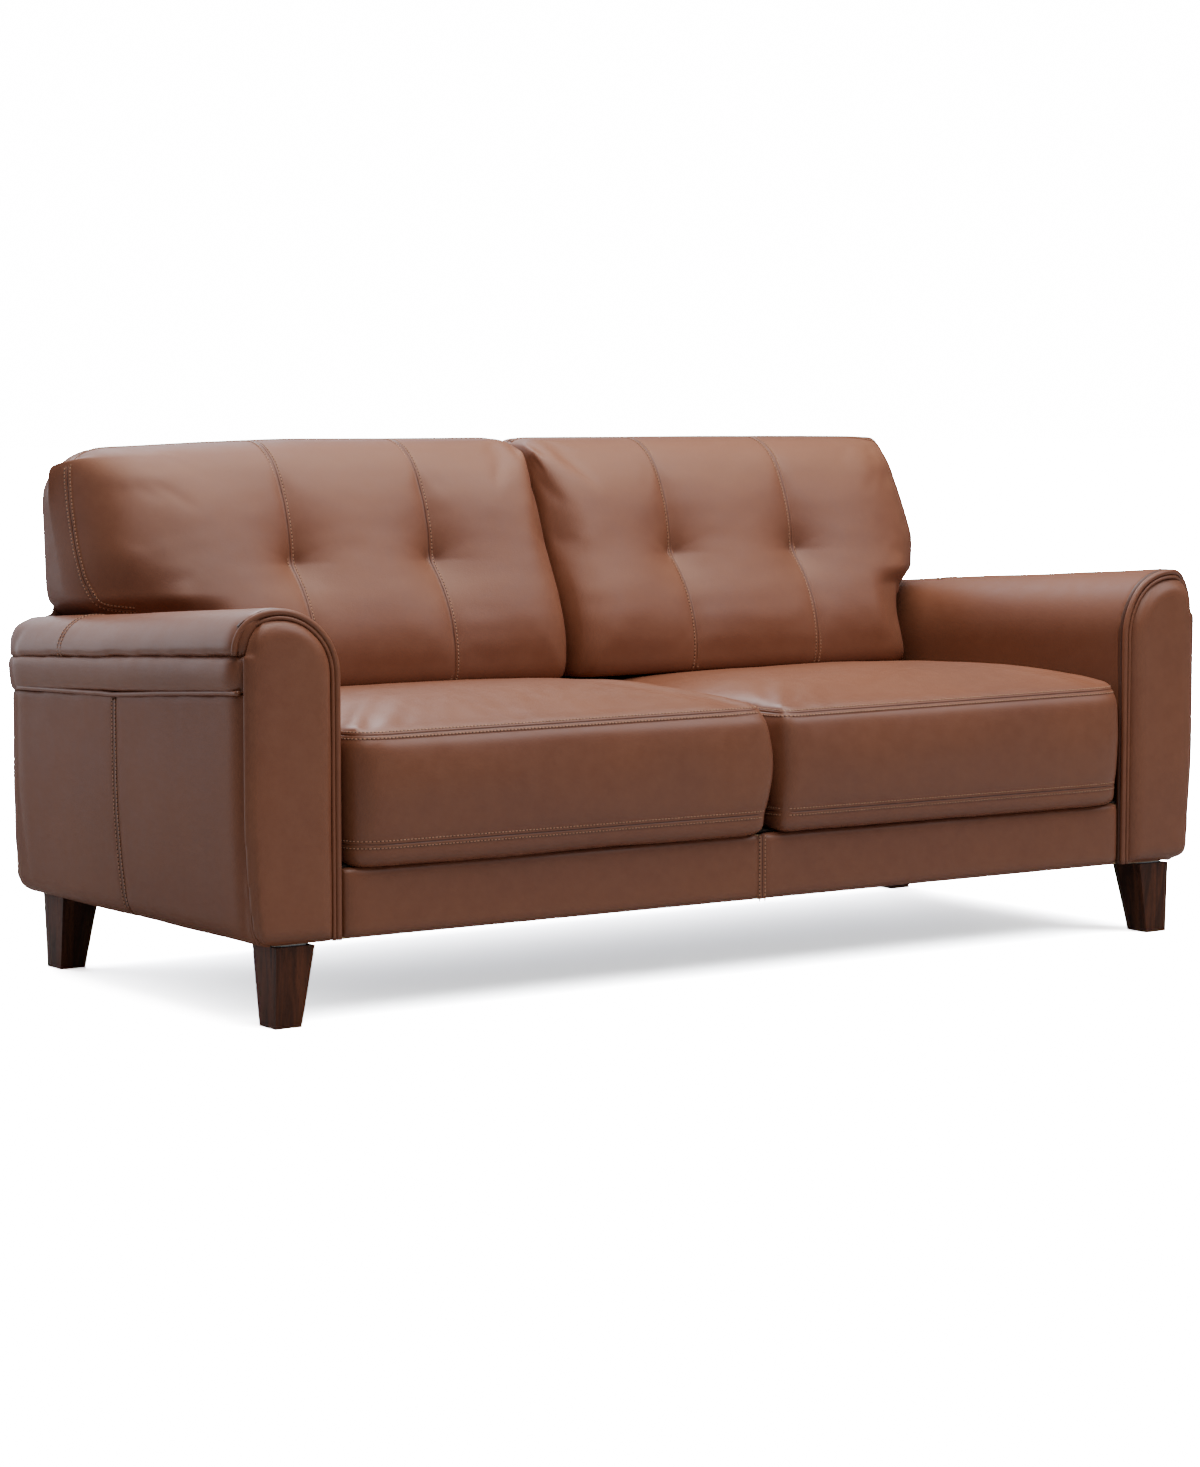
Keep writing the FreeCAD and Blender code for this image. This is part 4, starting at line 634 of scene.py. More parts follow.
def sweep(section, closed, places, folds=None):
    """Draws a section along a row of places. Each corner of it keeps its painted shade value."""
    bm = bmesh.new()
    layer = bm.verts.layers.float.new("fold")
    ring = [bm.verts.new(places[0] @ Vector((*corner, 0.0))) for corner in section]
    if folds:
        for corner, fold in zip(ring, folds):
            corner[layer] = fold
    mates = ring[1:] + ring[:1] if closed else ring[1:]
    edges = [bm.edges.new(pair) for pair in zip(ring, mates)]
    if closed:
        bm.faces.new(ring)
    for before, place in zip(places, places[1:]):
        drawn = bmesh.ops.extrude_edge_only(bm, edges=edges)["geom"]
        tips = {item for item in drawn if isinstance(item, bmesh.types.BMVert)}
        edges = [
            item for item in drawn
            if isinstance(item, bmesh.types.BMEdge) and tips.issuperset(item.verts)
        ]
        bmesh.ops.transform(bm, matrix=place @ before.inverted(), verts=list(tips))
    if closed:
        bmesh.ops.edgeloop_fill(bm, edges=edges)
        bmesh.ops.recalc_face_normals(bm, faces=bm.faces)
    else:
        bm.faces.ensure_lookup_table()
        bm.normal_update()
        out = places[0].to_3x3() @ Vector((0, 1, 0))
        if bm.faces[len(section) // 2].normal.dot(out) < 0:
            bmesh.ops.reverse_faces(bm, faces=bm.faces)
    return bm


def stitch_shape(size):
    """One stitch along Z, or the dark hole between two."""
    bm = bmesh.new()
    bmesh.ops.create_cube(bm, size=1.0)
    bmesh.ops.scale(bm, vec=size, verts=bm.verts)
    end_edges = [edge for edge in bm.edges if abs(edge.verts[0].co.z - edge.verts[1].co.z) < 0.0001]
    bmesh.ops.bevel(
        bm, geom=end_edges, offset=0.0003, offset_type="OFFSET", segments=1, profile=0.5,
        affect="EDGES", material=-1,
    )
    mesh = bpy.data.meshes.new("stitch")
    bm.to_mesh(mesh)
    bm.free()
    return mesh


def stitch_row(places):
    """Stitches on both sides of a seam, and the needle holes between them as small dark boxes,
    painted shade.
    """
    bm = bmesh.new()
    layer = bm.verts.layers.float.new("fold")
    rows = (
        (STITCH, 0.0, STITCH_HEIGHT, 0.0),
        (NEEDLE_HOLE, 1.0, STITCH_HEIGHT - HOLE_SINK, STITCH_PITCH / 2),
    )
    for size, fold, height, shift in rows:
        single = stitch_shape(size)
        count = len(bm.verts)
        for place in places:
            for offset in STITCH_OFFSETS:
                spot = place @ Matrix.Translation((offset, height, shift))
                single.transform(spot)
                bm.from_mesh(single)
                single.transform(spot.inverted())
        bm.verts.ensure_lookup_table()
        for vert in bm.verts[count:]:
            vert[layer] = fold
        bpy.data.meshes.remove(single)
    return bm


def sew(name, trees, line, hints, wide=1.0, tall=1.0):
    """A top-stitched seam on a line, laid on the trees' surface, if there are any."""
    points, normals = lay(trees, line, hints, SEAM_PITCH)
    normals = soften_line(normals, 4)
    points = soften_line(points, 2)
    section = [(x * wide, y * tall) for x, y in SEAM_SECTION]
    cover = sweep(section, False, stations(points, normals, SEAM_PITCH), SEAM_PAINTED_SHADE)
    attach(place_mesh(f"{name}_seam", cover, hide))
    stitches = stitch_row(stations(points, normals, STITCH_PITCH))
    attach(place_mesh(f"{name}_stitches", stitches, thread))


def ring_section(radius, sides=10):
    return [
        (radius * math.cos(2 * math.pi * i / sides), radius * math.sin(2 * math.pi * i / sides))
        for i in range(sides)
    ]


def piping(name, trees, line, out, radius, sink):
    """A thin leather cord laid along a line on a surface, sunk into it a little."""
    points, normals = lay(trees, line, [out] * len(line), CORD_PITCH)
    normals = soften_line(normals, 6)
    points = soften_line(points, 5) + normals * (radius - sink)
    places = stations(points, normals, CORD_PITCH)
    attach(place_mesh(name, sweep(ring_section(radius), True, places), hide))


# Arms: their lines, which the backs also follow

ARM_CROWN = 0.673
ARM_FALL = 0.048 / 0.836
ARM_FRONT = -0.406
ARM_CROWN_LINE = 0.955
ARM_ROUND = 0.115
# How far each pad's crown has settled or is packed up, from the front to the rear
PAD_PLACES = (-0.406, -0.22, 0.07, 0.345)
PAD_LIFT = {"left": (-0.004, -0.006, -0.009, -0.010), "right": (0.0075, 0.005, 0.0035, 0.0005)}


def pad_lift(along, side):
    return np.interp(along, PAD_PLACES, PAD_LIFT[side])


def arm_top(along, side):
    """Height of an arm's crown at a distance from the front."""
    return ARM_CROWN - ARM_FALL * (along - ARM_FRONT) + pad_lift(along, side)


def arm_surface(across, along, side):
    """Height of an arm pad's surface inside its crown."""
    inward = np.clip(ARM_CROWN_LINE - across, 0, ARM_ROUND * 0.985)
    return arm_top(along, side) - ARM_ROUND + np.sqrt(ARM_ROUND**2 - inward**2)


def settle(co, side):
    """Moves the crown of an arm to its own height."""
    x, y, z = co.T
    z += pad_lift(y, side) * ramp(z + ARM_FALL * (y - ARM_FRONT), 0.575, 0.655)


# Seat cushions

SEAT_VOXEL = 0.0095
SEAT_SEAM_HIGH = 0.462
SEAT_SEAM_LOW = 0.286
SEAT_SWELL = 0.010
SEAM_START = -0.1
# How far the upper seam of each seat rises at the middle of the sofa and at the arm
SEAT_ENDS = {"left": (0.0025, -0.0015), "right": (-0.007, 0.0007)}
# The left seat leans over the middle, and the right one gives way: the whole end, and its waist
SEAT_LEAN = {"left": (-0.011, -0.017), "right": (0.013, 0.004)}


def near_and_far(node):
    """How far a node's sides are from the middle of the sofa."""
    low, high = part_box(node)
    return sorted((abs(low.x), abs(high.x)))


def seat_tilt(across, height, side):
    """How a seat's seams rise or sink between the middle of the sofa and the arm."""
    upper = ramp(np.asarray(height), SEAT_SEAM_LOW, SEAT_SEAM_HIGH)
    inner, outer = SEAT_ENDS[side]
    return (inner + (outer - inner) * np.clip(across / 0.83, 0, 1)) * upper


def seat_blank(side):
    """The right-hand form of a seat cushion, a little small, and how far its filling is held."""
    low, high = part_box(f"{side}_seat_cover")
    near, far = near_and_far(f"{side}_seat_cover")
    near, far = near + SEAT_SWELL, far - SEAT_SWELL
    front, rear = low.y + SEAT_SWELL, high.y - SEAT_SWELL
    foot, top = low.z + 0.0005, high.z - SEAT_SWELL
    bm = slab([(front, foot), (rear, foot), (rear, top), (front, top)], near, far, 0)
    piece = place_mesh(f"{side}_seat_cushion", bm, seat_hide)
    remesh(piece, SEAT_VOXEL)
    co = points_of(piece)
    x, y, z = co.T
    seam = SEAT_SEAM_HIGH - 0.004
    rise = top - seam
    round_corners(
        co,
        ((1, 2), (front + 0.125, seam), (-0.125, rise)),
        ((0, 2), (far - 0.10, seam), (0.10, rise)),
        ((0, 2), (near + 0.10, seam), (-0.10, rise)),
        ((1, 2), (front + 0.028, foot + 0.024), (-0.028, -0.024)),
        ((0, 2), (far - 0.014, foot + 0.018), (0.014, -0.018)),
        ((0, 2), (near + 0.014, foot + 0.018), (-0.014, -0.018)),
        ((0, 1), (far - 0.055, front + 0.055), (0.055, -0.055)),
        ((0, 1), (near + 0.014, front + 0.018), (-0.014, -0.018)),
    )
    z += seat_tilt(x, z, side) - 0.022 * ramp(z, 0.44, 0.5) * ramp(y, -0.3, 0.32)
    whole, waist = SEAT_LEAN[side]
    x += (whole + waist * bell(z - 0.376, 0.07)) * ramp(-x, -0.24, -near)
    face = np.clip((z - SEAT_SEAM_LOW) / (SEAT_SEAM_HIGH - SEAT_SEAM_LOW), 0, 1)
    y -= 0.006 * np.sin(math.pi * face) * ramp(-y, 0.3, 0.42)
    z -= 0.0065 * ramp(-z, -0.29, -0.258) * ramp(-y, 0.33, 0.4)
    set_points(piece, co)
    relax(piece, 5)
    at_seams = (y < 0.1) * np.maximum(
        bell(z - SEAT_SEAM_HIGH, 0.008) * 0.9, bell(z - SEAT_SEAM_LOW, 0.008) * 0.8
    )
    held = np.maximum.reduce([ramp(-z, -0.30, -0.262) * 0.6, at_seams, ramp(y, 0.2, 0.29)])
    return piece, held


def seat_seam_way(side):
    """The way of a seat's seam in plan, by the arm, the front and the middle, and how it faces."""
    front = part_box(f"{side}_seat_cover")[0].y
    near, far = near_and_far(f"{side}_seat_cover")
    line = [(far, y) for y in np.linspace(SEAM_START, front + 0.07, 20)]
    hints = [(1, 0)] * 20
    line += arc((far - 0.06, front + 0.06), 0.06, 0, -90, 9)
    hints += arc((0, 0), 1, 0, -90, 9)
    line += [(x, front) for x in np.linspace(far - 0.07, near + 0.026, 44)]
    hints += [(0, -1)] * 44
    line += arc((near + 0.02, front + 0.02), 0.02, -90, -180, 9)
    hints += arc((0, 0), 1, -90, -180, 9)
    line += [(near, y) for y in np.linspace(front + 0.03, SEAM_START, 20)]
    hints += [(-1, 0)] * 20
    lean = SEAT_LEAN[side][0]
    return [(x + lean * float(ramp(-x, -0.24, -near)), y) for x, y in line], hints


def seat_finish(piece, side, sign, seed):
    """Pulls the seams in, adds light wrinkles, paints a highlight above the upper seam, and sews
    the seams.
    """
    relax(piece, 5)
    co = points_of(piece)
    out = normals_of(piece)
    level = co[:, 2]
    upright = 1 - np.abs(out[:, 2])
    pinch = bell(level - SEAT_SEAM_HIGH, 0.011) * ramp(upright, 0.1, 0.5) * 0.0035
    pinch += bell(level - SEAT_SEAM_LOW, 0.011) * upright * 0.003
    wave = slow_noise(co, 5.0, seed, (1.0, 1.6, 2.0)) * 0.0022
    ripple = slow_noise(co, 14.0, seed + 3, (2.2, 1.0, 1.0)) * 0.0006
    co += out * (wave + ripple - pinch)[:, None]
    set_points(piece, co)
    smoother(piece)
    level = points_of(piece)[:, 2]
    upward = normals_of(piece)[:, 2]
    # Painted highlight: tan on the up-facing roll just above the upper seam
    paint(piece, "crown", 0.3 * bell(level - SEAT_SEAM_HIGH - 0.03, 0.022) * ramp(upward, 0.2, 0.8))
    mirrored(piece, sign)
    dress(piece, f"{side}_seat_cover", f"{side}_seat_core", fill=0.9)
    way, hints = seat_seam_way(side)
    hints = [(sign * x, y, 0.0) for x, y in hints]
    for label, height in (("upper", SEAT_SEAM_HIGH), ("lower", SEAT_SEAM_LOW)):
        line = [(sign * x, y, height + seat_tilt(x, height, side)) for x, y in way]
        sew(f"{side}_seat_{label}", [tree_of(piece)], line, hints)


# Back cushions

BACK_VOXEL = 0.0082
BACK_SKIN = 0.003
BACK_REAR = 0.45
BACK_LEAN = 0.158
EAR_WRAP = 0.182
EAR_RADIUS = 0.189
EAR_PLACE = 0.25
SIDE_RADIUS = 0.105
TUFTS = (0.270, 0.560)
TUFT_HEIGHT = 0.716
TUFT_DEPTH = 0.030
TUFT_SPREAD = 0.048
TUFT_POINT = 0.004
# How far the filling stands forward of the leaning plane of the tufts, from the foot to the crown
BELLY_HEIGHTS = (0.478, 0.496, 0.545, 0.590, 0.640, 0.720, 0.810, 0.870, 0.905, 0.925)
BELLY = (0.003, 0.026, 0.047, 0.056, 0.056, 0.044, 0.037, 0.026, 0.016, 0.006)
# Roundness of each back's upper corner behind and in front, where one turns to the other,
# and how far the top falls there
BACK_CORNER = {"left": (0.100, 0.042, 0.0, 0.11, 0.014), "right": (0.058, 0.042, 0.05, 0.26, 0.003)}
FORWARD = (0.0, -0.94, 0.34)
UPWARD = (0.0, 0.0, 1.0)
EAR_FACE = (0.57, -0.82, 0.09)
# Places along the seam round an ear, from the arm up and over the corner, and which way it faces
EAR_SEAM = (
    (0.870, 0.233, 0.634, EAR_FACE),
    (0.892, 0.257, 0.636, EAR_FACE),
    (0.907, 0.277, 0.639, EAR_FACE),
    (0.914, 0.290, 0.647, EAR_FACE),
    (0.922, 0.317, 0.684, EAR_FACE),
    (0.925, 0.340, 0.740, EAR_FACE),
    (0.922, 0.364, 0.800, EAR_FACE),
    (0.918, 0.381, 0.850, (0.57, -0.80, 0.15)),
    (0.912, 0.393, 0.882, (0.55, -0.70, 0.4)),
    (0.890, 0.395, 0.903, (0.4, -0.35, 0.8)),
    (0.850, 0.396, 0.911, (0.1, 0.0, 1.0)),
    (0.700, 0.398, 0.919, UPWARD),
    (0.020, 0.400, 0.923, UPWARD),
)


def back_block(side, near, far, main_side, ear_foot):
    """A back's plain block, with the upper part of its side drawn out over the arm as an ear."""
    low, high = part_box(f"{side}_back_cover")
    front, rear = low.y + BACK_SKIN, high.y - BACK_SKIN
    foot, top = low.z + 0.004, high.z - BACK_SKIN
    outline = [
        (front, foot), (front, top), (rear, top), (rear, top - 0.05), (rear - 0.02, top - 0.056),
        (rear - 0.046, top - 0.09), (rear - 0.046, foot),
    ]
    bm = slab(outline, near, main_side, 0)
    bmesh.ops.bisect_plane(
        bm, geom=bm.verts[:] + bm.edges[:] + bm.faces[:], plane_co=(0, EAR_PLACE, ear_foot),
        plane_no=(0, ARM_FALL, 1),
    )
    flank = [
        face for face in bm.faces
        if face.normal.x > 0.9 and face.calc_center_median().z > ear_foot
    ]
    moved = bmesh.ops.extrude_face_region(bm, geom=flank)["geom"]
    ends = [item for item in moved if isinstance(item, bmesh.types.BMVert)]
    bmesh.ops.translate(bm, vec=(far - main_side, 0, 0), verts=ends)
    bmesh.ops.delete(bm, geom=flank, context="FACES_ONLY")
    bmesh.ops.recalc_face_normals(bm, faces=bm.faces)
    return bm


def lean_back(co, side, main_side, far, ear_foot):
    """Leans the front back, and curves it back towards the side: gently on the ear, more below."""
    low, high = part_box(f"{side}_back_cover")
    x, y, z = co.T
    deep = BACK_REAR - low.y
    left = deep - BACK_LEAN * np.clip((z - low.z) / (high.z - low.z), 0, 1.05)
    on_ear = np.clip(x - (far - EAR_WRAP), 0, EAR_WRAP)
    ear_turn = EAR_RADIUS - np.sqrt(EAR_RADIUS**2 - on_ear**2)
    below = np.clip(x - (main_side - SIDE_RADIUS), 0, SIDE_RADIUS)
    low_turn = SIDE_RADIUS - np.sqrt(np.maximum(SIDE_RADIUS**2 - below**2, 0))
    blend = ramp(z, ear_foot - 0.13, ear_foot + 0.05)
    turn = low_turn * (1 - blend) + np.maximum(ear_turn, 0.6 * low_turn * (1 - blend)) * blend
    turn = np.minimum(turn, left * 0.78)
    y[:] = BACK_REAR - (BACK_REAR - y) / deep * (left - turn)


def rest_on_arm(co, side, main_side, ear_foot):
    """Draws the underside of the ear down onto the curve of the arm."""
    x, y, z = co.T
    start = ear_foot - ARM_FALL * (y - EAR_PLACE) + 0.004
    drop = np.minimum(start - arm_surface(x, y, side) - 0.001, 0.04)
    z -= drop * (1 - ramp(z - start, 0.0, 0.085)) * ramp(x, main_side - 0.03, main_side + 0.015)


def back_blank(side):
    """The right-hand form of a back cushion with its ear, and how far its filling is held."""
    low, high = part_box(f"{side}_back_cover")
    near, far = near_and_far(f"{side}_back_cover")
    near, far = near + 0.0045, far - 0.007
    main_side = near_and_far(f"{side}_arm_cap")[0] - 0.003
    front, rear, top = low.y + BACK_SKIN, high.y - BACK_SKIN, high.z - BACK_SKIN
    ear_foot = arm_top(EAR_PLACE, side) + 0.005
    bm = back_block(side, near, far, main_side, ear_foot)
    piece = place_mesh(f"{side}_back_cushion", bm, back_hide)
    remesh(piece, BACK_VOXEL)
    co = points_of(piece)
    x, y, z = co.T
    wing = ramp(x, main_side - 0.004, main_side + 0.012) * ramp(-z, -0.878, -0.868)
    y += 0.024 * wing * ramp(y, 0.37, 0.4)
    behind, before, begin, end, drop = BACK_CORNER[side]
    tight = co.copy()
    round_corners(co, ((0, 2), (far - behind, top - behind), (behind, behind)))
    round_corners(tight, ((0, 2), (far - before, top - before), (before, before)))
    share = ramp(y, front + begin, front + end)[:, None]
    co[:] = co * share + tight * (1 - share)
    round_corners(
        co,
        ((1, 2), (front + 0.12, top - 0.062), (-0.12, 0.062)),
        ((1, 2), (rear - 0.045, top - 0.05), (0.045, 0.05)),
        ((0, 1), (far - 0.02, rear - 0.04), (0.02, 0.04)),
        ((0, 1), (far - 0.012, front + 0.014), (0.012, -0.014)),
        ((0, 1), (near + 0.035, front + 0.06), (-0.035, -0.06)),
        ((0, 2), (near + 0.03, top - 0.03), (-0.03, 0.03)),
        ((0, 2), (far - 0.034, ear_foot + 0.034), (0.034, -0.034)),
    )
    lean_back(co, side, main_side, far, ear_foot)
    z -= drop * ramp(x, 0.45, 0.93) * ramp(z, 0.78, 0.9)
    x -= 0.8 * near * ramp(-x, -0.07, -near) * ramp(y, 0.37, 0.42)
    set_points(piece, co)
    relax(piece, 4)
    co = points_of(piece)
    x, y, z = co.T
    rest_on_arm(co, side, main_side, ear_foot)
    set_points(piece, co)
    held = np.maximum.reduce([
        ramp(y, 0.33, 0.40),
        bell(x - TUFTS[0], 0.008) * 0.8,
        bell(x - TUFTS[1], 0.008) * 0.8,
        ramp(-z, -0.56, -0.49) * 0.7,
        ramp(x, far - 0.03, far - 0.005) * 0.9,
        ramp(x, main_side - 0.02, main_side) * ramp(-z, -0.68, -0.655),
    ])
    return piece, held


def back_front(height, side):
    """Distance of the back's front plane at a height."""
    low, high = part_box(f"{side}_back_cover")
    return low.y + BACK_LEAN * (height - low.z) / (high.z - low.z)


def push_belly(co, side):
    """Swells the front of a back forward, most in its lower half, and less where the ear is."""
    x, y, z = co.T
    share = ramp(-y, -0.41, -0.41 + 0.8 * (0.41 - back_front(z, side)))
    heights = np.linspace(0.47, 0.93, 93)
    swell = soften_line(np.interp(heights, BELLY_HEIGHTS, BELLY)[:, None], 14)[:, 0]
    over_arm = 1 - 0.55 * ramp(x, 0.79, 0.9) * ramp(-z, -0.74, -0.65)
    y -= np.interp(z, heights, swell) * share * over_arm


def tuck_over_arm(co, side):
    """Draws a back in where it meets the arm, and rounds the underside of its ear."""
    x, y, z = co.T
    height = z + ARM_FALL * (y - EAR_PLACE) - arm_top(EAR_PLACE, side)
    pull = ramp(-height, -0.030, 0.010) * ramp(z, 0.46, 0.60) * ramp(x, 0.70, 0.80)
    x -= 0.020 * pull
    y += 0.014 * pull * ramp(-y, -0.34, -0.28)


def tuft_depth(co):
    """How deep the tufts and their seams pull the leather in, and how much painted shade lies in
    their dimples and creases.
    """
    depth = np.zeros(len(co))
    fold = np.zeros(len(co))
    x, y, z = co.T
    reach = ramp(z, 0.46, 0.58) * ramp(-z, -0.93, -0.84)
    for across in TUFTS:
        dx = x - across
        dz = z - TUFT_HEIGHT
        depth += (0.001 + 0.005 * reach) * np.exp(-np.abs(dx) / 0.014)
        pull = np.sqrt(dx**2 + dz**2 + TUFT_POINT**2)
        depth += TUFT_DEPTH * np.exp(-pull / TUFT_SPREAD)
        # Each crease is pressed in and darkened with painted shade, as is the dimple
        for tilt, size in ((0.10, 1.0), (-0.35, 0.6)):
            crease = np.exp(-np.abs(dz + tilt * np.abs(dx)) / 0.006)
            crease *= np.exp(-np.abs(dx) / 0.028) * ramp(np.abs(dx), 0.002, 0.012)
            depth += 0.0035 * size * crease
            fold += 0.2 * size * crease
        fold += 0.25 * np.exp(-pull / 0.03)
    return depth, fold


def tuft_line(across, side):
    """The way of a tuft's seam up the front, round the crown and onto the top, and how it faces."""
    low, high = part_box(f"{side}_back_cover")
    heights = np.linspace(low.z + 0.005, high.z - 0.06, 60)
    line = [(across, back_front(z, side), z) for z in heights]
    hints = [FORWARD] * 60
    for a in np.radians(np.linspace(10, 88, 14)):
        forward, up = math.cos(a), math.sin(a)
        line.append((across, high.y - 0.087 - 0.06 * forward, high.z - 0.055 + 0.055 * up))
        hints.append((0.0, -forward, up))
    line += [(across, y, high.z) for y in (0.38, 0.41)]
    hints += [UPWARD] * 2
    return line, hints


def back_finish(piece, side, sign, seed):
    """Pulls the tufts in, adds creases, paints shade in the tufts and a highlight on the up-facing
    front, and sews the tuft and boxing seams.
    """
    relax(piece, 2)
    smoother(piece)
    co = points_of(piece)
    x, y, z = co.T
    out = normals_of(piece)
    forward = ramp(-out[:, 1] + 0.6 * out[:, 2], 0.1, 0.75)
    depth, fold = tuft_depth(co)
    # Painted shade on the left back's outer panel, where it turns away from the light
    if side == "left":
        fold += 0.42 * bell(x - 0.78, 0.12) * bell(z - 0.69, 0.11)
    wave = slow_noise(co, 4.5, seed, (1.0, 1.0, 1.4)) * 0.003
    ripple = slow_noise(co, 16.0, seed + 5, (1.0, 1.0, 2.0)) * 0.0006
    move = forward * (wave + ripple - depth)
    push_belly(co, side)
    tuck_over_arm(co, side)
    co += np.array(FORWARD) * move[:, None]
    set_points(piece, co)
    out = normals_of(piece)
    paint(piece, "fold", fold * forward)
    # Painted highlight: tan where the front faces up and forward
    paint(piece, "crown", ramp(out[:, 2], 0.3, 0.75) * ramp(-out[:, 1], 0.15, 0.5) * 0.8)
    mirrored(piece, sign)
    dress(piece, f"{side}_back_cover", f"{side}_back_core", fill=0.8)
    surface = [tree_of(piece)]
    for index, across in enumerate(TUFTS):
        sew(f"{side}_tuft_{index}", surface, *tuft_line(sign * across, side))
    line = [(sign * x, y, z) for x, y, z, face in EAR_SEAM]
    hints = [(sign * face[0], face[1], face[2]) for x, y, z, face in EAR_SEAM]
    sew(f"{side}_ear", surface, line, hints)


# Arms

ARM_VOXEL = 0.0065
# Where the covers of an arm end behind
REAR_END = 0.434
# How far in from its outline a facing rolls back, and how deep
FACING_ROLL = 0.030
FACING_DEPTH = 0.0190
SIDE_FACE = 1.0178
# How far behind the middle lie the side seam, the joint of the panels' nodes, and the pad seam
SIDE_SEAM = 0.022
PANEL_JOIN = 0.041
PAD_SEAM = 0.215
# Height of the cord under a band, from the front to the rear
BAND_PLACES = (-0.402, -0.34, -0.141, -0.03, 0.12, 0.22, 0.394)
BAND_HEIGHTS = (0.5385, 0.5352, 0.5216, 0.5125, 0.5062, 0.5028, 0.4965)
BAND_TOP = 0.604
# Radius of each cord of the welt, how far it lies inside the arm's outline, and its Y
WELT_CORDS = {"edge": (0.0054, 0.0050, -0.4135), "cord": (0.0034, 0.0142, -0.4150)}
# A flat strip behind the welt cords, dark all over: painted shade
WELT_SHADE_STRIP = ((-0.010, -0.004), (0.010, -0.004), (0.010, 0.004), (-0.010, 0.004))


def from_node(name, node, material, voxel):
    """An even mesh of a node's outer shape."""
    bm = bmesh.new()
    bm.from_mesh(frame["nodes"][node].data)
    bmesh.ops.remove_doubles(bm, verts=bm.verts, dist=0.00002)
    piece = place_mesh(name, bm, material)
    remesh(piece, voxel)
    return piece


def arm_ends(co, sign):
    """Rounds an arm cover's outer corners in front and behind, and tapers it towards the rear."""
    x, y, z = co.T
    x *= sign
    x -= np.maximum(x - 1.0, 0) * 0.3 * ramp(y, 0.05, 0.43)
    face = x.max()
    round_corners(
        co,
        ((0, 1), (face - 0.035, ARM_FRONT + 0.038), (0.035, -0.038)),
        ((0, 1), (0.9985, 0.37), (face - 0.9985, 0.06)),
    )
    x *= sign


def soft_cover(name, node, sign, material, voxel, rounds, swell, seed, fill):
    """A padded cover from its node: corners rounded, faces swelled, rear end drawn out."""
    piece = from_node(name, node, material, voxel)
    co = points_of(piece)
    arm_ends(co, sign)
    set_points(piece, co)
    relax(piece, rounds)
    co = points_of(piece)
    co += normals_of(piece) * (swell + 0.0012 * slow_noise(co, 7.0, seed))[:, None]
    along = co[:, 1]
    along += np.maximum(REAR_END - along.max(), 0) * ramp(along, 0.34, 0.42)
    set_points(piece, co)
    dress(piece, node, fill=fill)
    return piece


def arm_pad(side, sign, seed):
    """The pad that rolls over the arm, with a slack lip on its outer side, and painted shade low on
    its inner side.
    """
    node = f"{side}_arm_cap"
    material = cap_hide if side == "left" else side_hide
    piece = soft_cover(
        f"{side}_arm_pad", node, sign, material, ARM_VOXEL,
        rounds=6, swell=0.0015, seed=seed, fill=0.85,
    )
    co = points_of(piece)
    settle(co, side)
    x, y, z = co.T
    lip = ramp(np.abs(x), 0.985, 1.01) * ramp(-z, -0.625, -0.6) * ramp(z, 0.5, 0.54)
    z += 0.0026 * lip * slow_noise(co, 11.0, seed + 8, (1.0, 1.0, 0.2))
    set_points(piece, co)
    # Painted shade low on the inner side, where the pad faces away from the light
    inward = -sign * normals_of(piece)[:, 0]
    paint(piece, "fold", 0.28 * ramp(inward, 0.3, 0.9) * ramp(-z, -0.64, -0.56))
    return piece


def facing_margin(co):
    """Distance of each point from the outline of a facing, inside it."""
    across, along, up = co.T
    low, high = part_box("right_arm_facing")
    big = ARM_CROWN_LINE - low.x
    small = high.x - ARM_CROWN_LINE
    margin = np.minimum(across - low.x, (high.x - across) * 3)
    inner = (across < ARM_CROWN_LINE) & (up > high.z - big)
    arch = big - np.hypot(across - ARM_CROWN_LINE, up - high.z + big)
    margin = np.where(inner, np.minimum(arch, margin), margin)
    outer = (across >= ARM_CROWN_LINE) & (up > high.z - small)
    arch = small - np.hypot(across - ARM_CROWN_LINE, up - high.z + small)
    margin = np.where(outer, arch, margin)
    return np.maximum(np.minimum(margin, up - low.z), 0)


def arm_facing(side, sign, seed):
    """The padded front of the arm, rolled back all round its outline."""
    node = f"{side}_arm_facing"
    piece = from_node(f"{side}_arm_front", node, hide, 0.005)
    co = points_of(piece)
    x, y, z = co.T
    x *= sign
    face, front = x.max(), y.min()
    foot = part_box(node)[0].z + 0.02
    round_corners(
        co,
        ((0, 1), (face - 0.05, front + 0.019), (0.05, -0.019)),
        ((2, 1), (foot, front + 0.018), (-0.02, -0.018)),
    )
    edge = 1 - np.clip(facing_margin(co) / FACING_ROLL, 0, 1)
    roll = FACING_DEPTH * (1 - np.sqrt(1 - np.minimum(edge, 0.999) ** 2))
    y[:] = ARM_FRONT - (ARM_FRONT - y) * (1 - roll / (ARM_FRONT - front))
    x *= sign
    settle(co, side)
    set_points(piece, co)
    relax(piece, 4)
    co = points_of(piece)
    edge = bell(facing_margin(co * np.array([sign, 1.0, 1.0])), 0.012)
    swell = 0.0014 - 0.0035 * edge + 0.0012 * slow_noise(co, 6.0, seed + 7)
    co += normals_of(piece) * swell[:, None]
    set_points(piece, co)
    dress(piece, node, fill=0.85)


def band_foot(along):
    """Height of the cord under a band, with a small dip at the side seam."""
    return np.interp(along, BAND_PLACES, BAND_HEIGHTS) - 0.002 * bell(along - SIDE_SEAM, 0.02)


